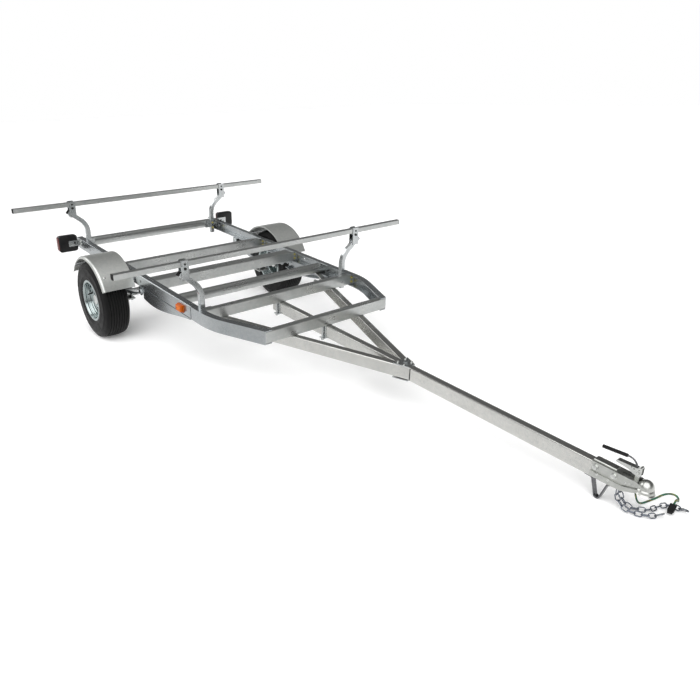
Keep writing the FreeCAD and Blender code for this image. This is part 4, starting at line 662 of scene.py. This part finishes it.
# Radius and offset from the wheel's middle: from the bead over the side and its raised lines to the shoulder
TYRE_SIDE = [(133.5, 78), (136, 83), (142, 85), (150, 86), (156, 86.4), (157, 87), (160, 87), (161, 86.6),
             (186, 86.8), (205, 85.2), (206, 86.0), (209, 85.9), (210, 84.9), (226, 80.6), (237, 75.6),
             (243, 71), (245.5, 67)]
TYRE_LINING = [(150, -68), (205, -74), (232, -55), (238, 0), (232, 55), (205, 74), (150, 68)]


class TyreSettings(bpy.types.PropertyGroup):
    """What a user would change in the tread"""
    groove_depth: bpy.props.FloatProperty(name="Groove depth", description="Depth of the grooves between ribs",
                                          default=0.0055, min=0, unit="LENGTH")
    groove_width: bpy.props.FloatProperty(name="Groove width", description="Width of a groove", default=0.0042,
                                          min=0, unit="LENGTH")


class TRAILER_OT_tyres(bpy.types.Operator):
    """Makes both ribbed tyres with rounded shoulders, side ribs and beads"""
    bl_idname = "trailer.tyres"
    bl_label = "Tyres"

    def execute(self, context):
        settings = context.scene.trailer_tyre
        tread = self.tread(settings.groove_depth / MM, settings.groove_width / MM)
        outline = TYRE_SIDE + tread + far_side(TYRE_SIDE) + TYRE_LINING
        for side, name in SIDES:
            bm = bmesh.new()
            spun(bm, outline, (0, side * WHEEL_Y, -AXLE_DROP), (0, side, 0), TYRE_STEPS)
            make_piece("tyre_ribbed_" + name, bm, "tyre_rubber", "wheel_" + name,
                       replaces=("tyre_" + name,), sharp_deg=40)
        return {"FINISHED"}

    def crown(self, y):
        """The tread's radius at an offset from its middle."""
        return TYRE_RADIUS - CROWN_DROP * (abs(y) / TREAD_HALF) ** CROWN_POWER

    def tread(self, depth, width):
        """Radius and offset over the tread: ribs with rounded edges and a groove after each but the last."""
        places = []
        pitch = 2 * TREAD_HALF / TREAD_RIBS
        for rib in range(TREAD_RIBS):
            centre = TREAD_HALF - (rib + 0.5) * pitch
            near, far = centre + (pitch - width) / 2, centre - (pitch - width) / 2
            places += [(self.crown(near) - RIB_EDGE_DROP, near),
                       (self.crown(near - RIB_EDGE_WIDTH), near - RIB_EDGE_WIDTH),
                       (self.crown(centre), centre),
                       (self.crown(far + RIB_EDGE_WIDTH), far + RIB_EDGE_WIDTH),
                       (self.crown(far) - RIB_EDGE_DROP, far)]
            if rib < TREAD_RIBS - 1:
                groove = centre - pitch / 2
                floor = self.crown(groove) - depth
                reach = width / 2 - GROOVE_SLOPE
                places += [(floor, groove + reach), (floor, groove - reach)]
        return places


# Wheels

RIM_STEPS = 72

# Radius and offset from the wheel's middle: the tyre's side of the barrel, its open side with rolled rings,
# and the disc's front and rear
BARREL_OUTER = [(134.0, 80.0), (131.5, 78.4), (124.5, 78.2), (122.4, 76.5), (121.6, 60), (119.8, 50),
                (122.4, 47.5), (121.4, 44.5), (97.5, 31), (96.0, 29)]
BARREL_INNER = [(91.8, 26), (93.2, 30), (96.4, 32.8), (100.5, 35.5), (106, 38), (108, 43), (116.5, 45.5),
                (118.4, 49), (115.6, 51), (117.6, 57), (115.9, 60.5), (117.9, 63.5), (118.0, 69), (116.4, 71.5),
                (118.3, 74.5), (118.2, 78.5), (120.2, 81.4), (124.5, 82.0), (131.5, 82.0), (134.2, 81.6)]
DISC_FRONT = [(34.2, 17.0), (42, 17.0), (43.5, 18.6), (46, 18.8), (47.5, 17.0), (66, 17.4), (71.5, 18.6),
              (78, 24.5), (82.5, 31), (86.5, 33), (89.5, 31.5), (92.4, 29)]
DISC_REAR = [(92.4, 24.0), (88.5, 26.6), (86.2, 27.6), (83.8, 26.4), (75.5, 14.6), (70, 12.4), (34.2, 12.1)]

# The valve's foot from the wheel's middle and its lean, with y outward, then its stem and its cap
VALVE_FOOT, VALVE_LEAN = (-97, 33, 14), (0.32, 1, -0.05)
STEM_RADIUS, STEM_LENGTH = 5.4, 24
CAP_START, CAP_RADIUS, CAP_LENGTH = 22, 4.4, 12


class TRAILER_OT_rims(bpy.types.Operator):
    """Makes both rolled rims with their rounded flanges, well and dished disc, and the valve"""
    bl_idname = "trailer.rims"
    bl_label = "Rims"

    def execute(self, context):
        barrel = BARREL_OUTER + far_side(BARREL_OUTER) + far_side(BARREL_INNER) + BARREL_INNER
        for side, name in SIDES:
            bm = bmesh.new()
            centre, axis = Vector((0, side * WHEEL_Y, -AXLE_DROP)), (0, side, 0)
            spun(bm, barrel, centre, axis, RIM_STEPS)
            spun(bm, DISC_FRONT + DISC_REAR, centre, axis, RIM_STEPS)
            make_piece("rim_rolled_" + name, bm, "rim_steel", "wheel_" + name, sharp_deg=38,
                       replaces=("rim_" + name,))
            bm = bmesh.new()
            outward = Vector((1, side, 1))
            foot, lean = centre + Vector(VALVE_FOOT) * outward, (Vector(VALVE_LEAN) * outward).normalized()
            add_stud(bm, foot, lean, STEM_RADIUS, STEM_LENGTH)
            add_stud(bm, foot + lean * CAP_START, lean, CAP_RADIUS, CAP_LENGTH)
            make_piece("valve_" + name, bm, "cap_plastic", "wheel_" + name)
        return {"FINISHED"}


# Chains

# In millimetres: a link's wire, length, width, and how far it is pressed into the next
LINK_WIRE, LINK_LENGTH, LINK_WIDTH, LINK_SINK = 4.6, 34.5, 22.0, 0.6
# The source's links and hooks end in flat sides, whose middle one stands at this share of the end's radius
CUT_SHARE = math.cos(math.radians(30))
LINK_REACH = (LINK_LENGTH - LINK_WIDTH) / 2 + (LINK_WIDTH / 2 - LINK_WIRE) * CUT_SHARE
LINK_PITCH = 2 * LINK_REACH + LINK_SINK
LINK_STEPS, WIRE_FACETS = 16, 10

# The source's hook: its width, half its straight run and its stock. Then the round one that shows, with its
# mouth in degrees, and its gate
HOOK_WIDTH, HOOK_HALF_RUN, HOOK_STOCK = 30.0, 6.0, 6.5
HOOK_REACH = HOOK_HALF_RUN + (HOOK_WIDTH / 2 - HOOK_STOCK) * CUT_SHARE
HOOK_LENGTH, HOOK_WIRE, HOOK_MOUTH = 39.7, 6.0, 50
GATE_ACROSS, GATE_BACK, GATE_RADIUS, GATE_LENGTH = 12, 10.5, 1.8, 20

# The bolt that both chains hang on and how far over its middle the first link's inside stands, a chain's
# distance from the trailer's middle, and the bend down at the floor
CHAIN_BOLT_X, CHAIN_BOLT_Z, CHAIN_BOLT_REACH = 3207.0, -118.0, 4.3
CHAIN_Y = 12.5
CHAIN_BEND, BEND_TURNS = 2.4 * LINK_PITCH, (0.0, 22.5, 45.0, 67.5, 90.0)
# Lying links lean half over, after as many links as it takes to roll there, a little above the floor
LYING_ROLL, ROLLING_LINKS, LYING_GAP = math.radians(45), 4, 2.5

# Side, number of links, and the way along the floor in shares of a link's pitch: ahead of the bolt, and across
CHAINS = {
    "left": (1, 13, ((3.01, 1.03), (3.88, 1.57), (4.42, 2.48), (4.67, 3.47), (4.96, 4.47), (5.5, 5.38),
                     (6.25, 5.83), (7.24, 5.79), (8.32, 5.46))),
    "right": (-1, 9, ((3.01, -0.33), (3.97, 0), (4.88, 0.5), (5.58, 1.24), (5.92, 2.23), (6, 3.31),
                      (6.04, 4.55))),
}


def ground_z(x):
    """The ground's height under the parked trailer, in the level frame."""
    back = LEVEL.inverted()
    origin = back @ Vector((0, 0, 0))
    slope = back @ Vector((1, 0, 0)) - origin
    return origin.z + (x - origin.x) * slope.z / slope.x


def lying_height(width, wire):
    """How high a lying ring's middle is above the ground."""
    return (width + wire) / 2 * math.sin(LYING_ROLL) + LYING_GAP


def add_link(bm, middle, along, normal, length, width, wire, mouth=0):
    """A round-wire link lying round a middle, its length one way and its plane's normal the other."""
    start = math.radians(mouth / 2 + 90) if mouth else math.pi / LINK_STEPS
    before = set(bm.verts)
    ring = bmesh.ops.create_circle(bm, cap_ends=bool(mouth), segments=WIRE_FACETS, radius=wire / 2,
                                   matrix=Matrix.Rotation(start, 4, "Z")
                                   @ Matrix.Translation(((width - wire) / 2, 0, 0))
                                   @ Matrix.Rotation(math.pi / 2, 4, "X"))["verts"]
    geom = ring + edges_of(ring)
    if mouth:
        geom += list({face for vert in ring for face in vert.link_faces})
    bmesh.ops.spin(bm, geom=geom, cent=(0, 0, 0), axis=(0, 0, 1), dvec=(0, 0, 0),
                   angle=math.radians(360 - mouth), steps=LINK_STEPS, use_merge=not mouth, use_duplicate=False)
    verts = [vert for vert in bm.verts if vert not in before]
    for side in (-1, 1):
        half = [vert for vert in verts if vert.co.x * side > 0]
        bmesh.ops.translate(bm, vec=(side * (length - width) / 2, 0, 0), verts=half)
    pose = Matrix((along, normal.cross(along), normal)).transposed().to_4x4()
    bmesh.ops.transform(bm, matrix=Matrix.Translation(middle) @ pose, verts=verts)


def chain_route(side, shares):
    """Places that a chain passes: down from its bolt, round the bend and along the floor."""
    lie = lying_height(LINK_WIDTH, LINK_WIRE)
    top = CHAIN_BOLT_Z + CHAIN_BOLT_REACH - LINK_REACH + LINK_PITCH / 2
    route = [Vector((CHAIN_BOLT_X, side * CHAIN_Y, top))]
    for angle in BEND_TURNS:
        turn = math.radians(angle)
        x = CHAIN_BOLT_X + CHAIN_BEND * (1 - math.cos(turn))
        route.append(Vector((x, side * CHAIN_Y, ground_z(x) + lie + CHAIN_BEND * (1 - math.sin(turn)))))
    for ahead, across in shares:
        x = CHAIN_BOLT_X + ahead * LINK_PITCH
        route.append(Vector((x, across * LINK_PITCH, ground_z(x) + lie)))
    return route


def pitch_points(route, count):
    """Points one pitch apart along a route, one more than there are links."""
    points = [route[0]]
    leg = 0
    while len(points) <= count:
        last = points[-1]
        while leg + 2 < len(route) and (route[leg + 1] - last).length < LINK_PITCH:
            leg += 1
        run = (route[leg + 1] - route[leg]).normalized()
        reach = (last - route[leg]).dot(run)
        aside = (last - route[leg] - run * reach).length
        points.append(route[leg] + run * (reach + math.sqrt(max(LINK_PITCH ** 2 - aside ** 2, 0))))
    return points


def chain_places(side, count, shares):
    """Each link's middle, direction and normal, and the hook's, as the chain hangs and lies."""
    points = pitch_points(chain_route(side, shares), count)
    places = []
    across = Vector((0, 1, 0))
    for index in range(count):
        along = (points[index + 1] - points[index]).normalized()
        across = (across - along * across.dot(along)).normalized()
        roll = index * math.pi / 2 - LYING_ROLL * min(max(index - 1, 0) / ROLLING_LINKS, 1)
        normal = across * math.cos(roll) + along.cross(across) * math.sin(roll)
        places.append(((points[index] + points[index + 1]) / 2, along, normal))
    aim = points[count] + along * HOOK_REACH
    aim.z = ground_z(aim.x) + lying_height(HOOK_WIDTH, HOOK_STOCK)
    along = (aim - points[count]).normalized()
    middle = points[count] + along * (HOOK_REACH + LINK_SINK / 2)
    places.append((middle, along, along.cross(normal).normalized()))
    return places


class TRAILER_OT_chains(bpy.types.Operator):
    """Makes both safety chains of round-wire links, each with its snap hook"""
    bl_idname = "trailer.chains"
    bl_label = "Safety chains"

    def execute(self, context):
        for name, (side, count, shares) in CHAINS.items():
            bm = bmesh.new()
            places = chain_places(side, count, shares)
            for middle, along, normal in places[:-1]:
                add_link(bm, middle, along, normal, 2 * (LINK_REACH + LINK_WIRE), LINK_WIDTH, LINK_WIRE)
            bmesh.ops.recalc_face_normals(bm, faces=bm.faces)
            make_piece("safety_chain_round_" + name, bm, "chain_steel", "chassis", sharp_deg=60,
                       replaces=("safety_chain_" + name,))
            bm = bmesh.new()
            middle, along, normal = places[-1]
            add_link(bm, middle, along, normal, HOOK_LENGTH, HOOK_WIDTH, HOOK_WIRE, HOOK_MOUTH)
            bmesh.ops.recalc_face_normals(bm, faces=bm.faces)
            # The sprung gate closes the mouth with a thinner wire
            gate = middle + normal.cross(along) * GATE_ACROSS - along * GATE_BACK
            add_stud(bm, gate, along, GATE_RADIUS, GATE_LENGTH)
            make_piece("chain_hook_" + name, bm, "zinc_hook", "chassis", sharp_deg=60)
        return {"FINISHED"}


# Coupler

# Distances from the middle to the faces of the coupler's cheeks, its skirt, its ears and the latch
CHEEK_Y, SKIRT_Y, EAR_Y, LATCH_Y = 24.3, 30.3, 14.9, 10.9

# Bolts as (x, z) with their thread, and how far it stands out of the nut
COUPLER_BOLTS, COUPLER_THREAD, COUPLER_END = ((3113, -87), (3187, -86)), 11, 3

# Rivets as (x, z, radius, height), and in the same form the latch's dark domes of painted shade, which stand for
# its holes
SKIRT_RIVETS = ((3127, -113, 5.2, 2.2), (3172, -113, 5.2, 2.2))
NOSE_RIVETS = ((3232, -92, 3.2, 1.4), (3246, -88, 3.2, 1.4))
EAR_RIVETS = ((3262, -38, 5.4, 2.0),)
LATCH_HOLE_SHADES = ((3246, -27, 2.4, 1.0), (3236, -24, 1.8, 1.0), (3264.5, -24, 2.2, 1.0))

# The adjusting nut and its screw: the foot of each, then across the flats and height, and radius and length
NUT_FOOT, NUT_ACROSS, NUT_HEIGHT = (3277.5, 0, -67.0), 13, 6
SCREW_FOOT, SCREW_RADIUS, SCREW_LENGTH = (3277.5, 0, -61.2), 3.2, 5


def add_domes_both_sides(bm, y, domes):
    """The same domes on both sides, at a distance from the middle: rivets, and on the latch painted shade for
    its holes.
    """
    for side in (-1, 1):
        for x, z, radius, height in domes:
            add_dome(bm, (x, side * y, z), (0, side, 0), radius, height)


class TRAILER_OT_coupler(bpy.types.Operator):
    """Adds the coupler's bolts and rivets, its adjusting nut, and dark domes of painted shade for the latch's
    holes
    """
    bl_idname = "trailer.coupler"
    bl_label = "Coupler fittings"

    def execute(self, context):
        bm = bmesh.new()
        # The bolts go in from the right, so they end in nuts on the left
        for side, end in ((-1, 0), (1, COUPLER_END)):
            for x, z in COUPLER_BOLTS:
                add_bolt(bm, (x, side * CHEEK_Y, z), (0, side, 0), COUPLER_THREAD, end)
        add_domes_both_sides(bm, SKIRT_Y, SKIRT_RIVETS)
        add_domes_both_sides(bm, CHEEK_Y, NOSE_RIVETS)
        make_piece("coupler_bolts", bm, "zinc_plate", "chassis", sharp_deg=30)
        bm = bmesh.new()
        add_hex(bm, NUT_FOOT, (0, 0, 1), NUT_ACROSS, NUT_HEIGHT)
        add_stud(bm, SCREW_FOOT, (0, 0, 1), SCREW_RADIUS, SCREW_LENGTH)
        make_piece("adjusting_nut", bm, "zinc_dark", "chassis", sharp_deg=30)
        bm = bmesh.new()
        add_domes_both_sides(bm, EAR_Y, EAR_RIVETS)
        make_piece("pivot_rivets", bm, "zinc_plate", "chassis", sharp_deg=50)
        # Dark domes on the latch: painted shade that stands for its holes, which show dark
        bm = bmesh.new()
        add_domes_both_sides(bm, LATCH_Y, LATCH_HOLE_SHADES)
        make_piece("latch_hole_shades", bm, "zinc_dark", "latch", sharp_deg=50)
        return {"FINISHED"}


# Frame

# Threads in millimetres, and how far they stand out of their nuts
FRAME_THREAD, SMALL_THREAD, LAMP_THREAD = 8, 7, 6
THREAD_END, SHORT_END = 3, 2

# Bolts through the fronts of these crossmembers: their distance from its end, and their heights
CROSS_FRONTS = ("crossmember_axle", "crossmember_wide", "crossmember_tongue")
CROSS_INSET, CROSS_Z = 16, (-24, -52)

# Bolts through each upright, on its forward or its rear face
UPRIGHT_FACES = (("upright_rear", 1), ("upright_front", -1))
UPRIGHT_HALF, UPRIGHT_BOLT_Z = 15, (-22, -62)

# Brackets on the rails' outer faces: where their bolts stand, and the bolt on the back of each lamp
BRACKET_Y = RAIL_Y + 5
LAMP_X, LAMP_Z, LAMP_BACK = -662, (-12, -32), (-677, 630, -32)
GUARD_X, GUARD_Z = 193, (-14, -52)

# Heads on the mudguards' slopes: turned up from level by an angle, at a radius from the axle
HEAD_TURN, HEAD_PLACE, HEAD_Y, HEAD_RADIUS, HEAD_HEIGHT = math.radians(45), 290, (612, 742), 6.5, 2.6

TONGUE_CLAMP_X, TONGUE_CLAMP_Y, TONGUE_CLAMP_Z = (2052, 2094), 26, -66

# Painted shade: black strips in the shadowed gap where side rail meets front rail, as ranges: along the joint,
# on the web and on the top flange
JOINT_X = (960.3, 963.9)
WEB_SHADE_Y, WEB_SHADE_Z = (RAIL_Y - 0.4, RAIL_Y + 0.5), (-72, -5)
FLANGE_SHADE_Y, FLANGE_SHADE_Z = (524, 557), (-0.4, 0.3)


class TRAILER_OT_fasteners(bpy.types.Operator):
    """Adds the bolts that hold crossmembers, uprights, lamps and mudguards, and black strips of painted shade in
    the shadowed joints
    """
    bl_idname = "trailer.fasteners"
    bl_label = "Frame fasteners"

    def execute(self, context):
        bolts = {-1: bmesh.new(), 1: bmesh.new()}
        plain = bolts[-1]
        for node in CROSS_FRONTS:
            low, high = level_box(node)
            for side in (-1, 1):
                for z in CROSS_Z:
                    place = (high.x, side * (high.y - CROSS_INSET), z)
                    add_bolt(bolts[side], place, (1, 0, 0), FRAME_THREAD, THREAD_END)
        for node, face in UPRIGHT_FACES:
            for side, name in SIDES:
                low, high = level_box(node + "_" + name)
                for z in UPRIGHT_BOLT_Z:
                    place = ((low.x + high.x) / 2 + face * UPRIGHT_HALF, side * UPRIGHT_Y, z)
                    add_bolt(bolts[side], place, (face, 0, 0), FRAME_THREAD, THREAD_END)
        for side in (-1, 1):
            for z in LAMP_Z:
                add_bolt(plain, (LAMP_X, side * BRACKET_Y, z), (0, side, 0), SMALL_THREAD, THREAD_END)
            x, y, z = LAMP_BACK
            add_bolt(plain, (x, side * y, z), (1, 0, 0), LAMP_THREAD, SHORT_END)
        for side in (-1, 1):
            for turn in (-1, 1):
                self.add_guard_bolts(plain, side, turn)
        for x in TONGUE_CLAMP_X:
            for side in (-1, 1):
                place = (x, side * TONGUE_CLAMP_Y, TONGUE_CLAMP_Z)
                add_bolt(plain, place, (0, 0, 1), SMALL_THREAD, SHORT_END)
        # Black strips that paint the shade in the joints' gaps
        seals = bmesh.new()
        for side in (-1, 1):
            self.add_painted_joint_shade(seals, side)
        make_piece("rail_joint_painted_shade", seals, "cap_plastic", "chassis")
        make_piece("frame_bolts", plain, "zinc_plate", "chassis", sharp_deg=30)
        make_piece("frame_bolts_yellow", bolts[1], "zinc_yellow", "chassis", sharp_deg=30)
        return {"FINISHED"}

    def add_guard_bolts(self, bm, side, turn):
        """The heads on one slope of a mudguard, and the bolts of its bracket below."""
        rise = Vector((turn * math.cos(HEAD_TURN), 0, math.sin(HEAD_TURN)))
        for y in HEAD_Y:
            place = Vector((0, side * y, -AXLE_DROP)) + rise * HEAD_PLACE
            add_dome(bm, place, rise, HEAD_RADIUS, HEAD_HEIGHT)
        for z in GUARD_Z:
            add_bolt(bm, (turn * GUARD_X, side * BRACKET_Y, z), (0, side, 0), FRAME_THREAD, THREAD_END)

    def add_painted_joint_shade(self, bm, side):
        """Black strips of painted shade: in the shadowed gap where the side rail meets the front rail, and in
        the open end of the diagonal at the tongue, which lies in shadow.
        """
        add_block(bm, *sided(side, JOINT_X, WEB_SHADE_Y, WEB_SHADE_Z))
        add_block(bm, *sided(side, JOINT_X, FLANGE_SHADE_Y, FLANGE_SHADE_Z))
        tip, (low, high) = level_box("diagonal_left")[1].x, level_box("tongue")
        add_block(bm, *sided(side, (tip - 1, tip + 3.5), (high.y - 1, high.y + 1.2), (low.z + 5, high.z - 3)))


# Saddles

# The uprights' bend: the height where it starts, its radius, its turn, and the straight run beyond it
BEND_Z, BEND_RADIUS, BEND_TURN, BEND_RUN = 55, 115, math.radians(50), 108
PLUG_SIZE, PLUG_ROUND = (29.4, 29.4, 7, 1), 2.4

# Bolts through the saddles' cheeks as (z, thread, thread past the nut), and their place
SADDLE_BOLTS = ((238, 7, 4), (263, 5, 0))
SADDLE_CHEEK, SADDLE_Y = 19, 600


class TRAILER_OT_saddles(bpy.types.Operator):
    """Adds the plugs in the upright tubes' ends and the bolts that clamp the load bars"""
    bl_idname = "trailer.saddles"
    bl_label = "Bar saddles"

    def execute(self, context):
        plugs, bolts = bmesh.new(), bmesh.new()
        for node, _ in UPRIGHT_FACES:
            for side, name in SIDES:
                low, high = level_box(node + "_" + name)
                middle = (low.x + high.x) / 2
                self.add_plug(plugs, middle, side)
                for face in (-1, 1):
                    for z, thread, end in SADDLE_BOLTS:
                        place = (middle + face * SADDLE_CHEEK, side * SADDLE_Y, z)
                        add_bolt(bolts, place, (face, 0, 0), thread, end if face > 0 else 0)
        make_piece("upright_plugs", plugs, "cap_plastic", "chassis", sharp_deg=40)
        make_piece("saddle_bolts", bolts, "zinc_dark", "chassis", sharp_deg=30)
        return {"FINISHED"}

    def add_plug(self, bm, x, side):
        """The plug in a tube's leaning end, beyond its bend."""
        outward = Vector((0, side * math.sin(BEND_TURN), math.cos(BEND_TURN)))
        centre = Vector((x, side * (UPRIGHT_Y + BEND_RADIUS), BEND_Z))
        bent = centre + Vector((0, -side * math.cos(BEND_TURN), math.sin(BEND_TURN))) * BEND_RADIUS
        pose = Matrix.Translation(bent + outward * BEND_RUN) @ facing(outward)
        verts = bmesh.ops.create_cube(bm, size=1, matrix=pose @ Matrix.Diagonal(PLUG_SIZE))["verts"]
        rounded(bm, edges_of(verts), PLUG_ROUND, 2)


# Lamps

# Each layer of a tail lamp: its range in x, its half width, its range in z, its corners and its rims' round
TAIL_LAMP_Y = 648
HOUSING_LAYERS = (((-713, -682), 66, (-81, 37), 18, 6), ((-717, -709), 65.5, (-80.5, 36.5), 18, 2))
LENS_LAYERS = (((-735.8, -714), 62.5, (-77.5, 33.5), 17, 7), ((-735.9, -731), 30, (-46, 2), 7, 0.1))

# Plates on a side, as ranges in x, y and z with their corners and their rims' round
SIDE_LENS = ((-733, -684), (700, 714.6), (-70, 26)), 9, 4
MARKER_FOOT = ((811, 883), (RAIL_Y + 0.2, 568), (-64.5, -19.5)), 9, 1.5
MARKER_COVER = ((815, 879), (567, 581), (-61, -23)), 8, 4

# Round heads as radius and height: the lamp's grommet, the marker's raised eye and its screws
GROMMET_PLACE, GROMMET_HEAD = (-677, 604, -20), (6.5, 1.5)
MARKER_FACE, MARKER_Z = 580.9, -42
EYE_X, EYE_HEAD = 847, (13, 1.0)
SCREW_X, SCREW_HEAD = (825, 869), (3, 0.9)

# The axis along which a plate's large corners are seen
ALONG_X, ALONG_Y = 0, 1


def add_side_plate(bm, side, ranges, corner, rim_round):
    """A rounded plate that faces outward on a side."""
    add_pad(bm, *sided(side, *ranges), ALONG_Y, corner, rim_round)


class TRAILER_OT_lamps(bpy.types.Operator):
    """Makes the rounded tail lamps with ribbed red lenses, and the amber side markers"""
    bl_idname = "trailer.lamps"
    bl_label = "Lamps"

    def execute(self, context):
        housing, lens, wraps, seals, cover, screws = (bmesh.new() for piece in range(6))
        for side in (-1, 1):
            self.add_layers(housing, side * TAIL_LAMP_Y, HOUSING_LAYERS)
            self.add_layers(lens, side * TAIL_LAMP_Y, LENS_LAYERS)
            # The lens turns the outer corner as the side light
            add_side_plate(wraps, side, *SIDE_LENS)
            x, y, z = GROMMET_PLACE
            add_dome(seals, (x, side * y, z), (1, 0, 0), *GROMMET_HEAD)
            add_side_plate(cover, side, *MARKER_FOOT)
            add_side_plate(cover, side, *MARKER_COVER)
            add_dome(cover, (EYE_X, side * MARKER_FACE, MARKER_Z), (0, side, 0), *EYE_HEAD)
            for x in SCREW_X:
                add_dome(screws, (x, side * MARKER_FACE, MARKER_Z), (0, side, 0), *SCREW_HEAD)
        make_piece("tail_lamp_housings", housing, "lamp_plastic", "chassis",
                   replaces=("tail_lamps",))
        make_piece("tail_lamp_lenses", lens, "red_lens", "chassis", replaces=("tail_lenses",))
        make_piece("tail_lamp_side_lenses", wraps, "red_lens", "chassis")
        make_piece("lamp_grommets", seals, "cap_plastic", "chassis")
        make_piece("side_marker_lenses", cover, "amber_lens", "chassis",
                   replaces=("side_markers",))
        make_piece("side_marker_screws", screws, "zinc_dark", "chassis")
        return {"FINISHED"}

    def add_layers(self, bm, y, layers):
        for x, half, z, corner, rim_round in layers:
            add_pad(bm, (x[0], y - half, z[0]), (x[1], y + half, z[1]), ALONG_X, corner, rim_round)


# Panel and registration

ORDER = ("stage", "wiring", "finishes", "tyres", "rims", "chains", "coupler", "fasteners", "saddles", "lamps")


class TRAILER_PT_panel(bpy.types.Panel):
    """Lists the trailer's pieces in the order they are made"""
    bl_idname = "TRAILER_PT_panel"
    bl_label = "Boat trailer"
    bl_space_type = "VIEW_3D"
    bl_region_type = "UI"
    bl_category = "Trailer"

    def draw(self, context):
        for name in ORDER:
            self.layout.operator("trailer." + name)


SETTINGS = {"trailer_stage": StageSettings, "trailer_wiring": WiringSettings, "trailer_tyre": TyreSettings}

CLASSES = (*SETTINGS.values(), TRAILER_OT_stage, TRAILER_OT_wiring, TRAILER_OT_finishes, TRAILER_OT_tyres,
           TRAILER_OT_rims, TRAILER_OT_chains, TRAILER_OT_coupler, TRAILER_OT_fasteners, TRAILER_OT_saddles,
           TRAILER_OT_lamps, TRAILER_PT_panel)


def register():
    for cls in CLASSES:
        bpy.utils.register_class(cls)
    for name, group in SETTINGS.items():
        setattr(bpy.types.Scene, name, bpy.props.PointerProperty(type=group))


def unregister():
    for name in SETTINGS:
        delattr(bpy.types.Scene, name)
    for cls in reversed(CLASSES):
        bpy.utils.unregister_class(cls)


def main():
    register()
    make_materials()
    for name in ORDER:
        getattr(bpy.ops.trailer, name)()


if __name__ == "__main__":
    main()
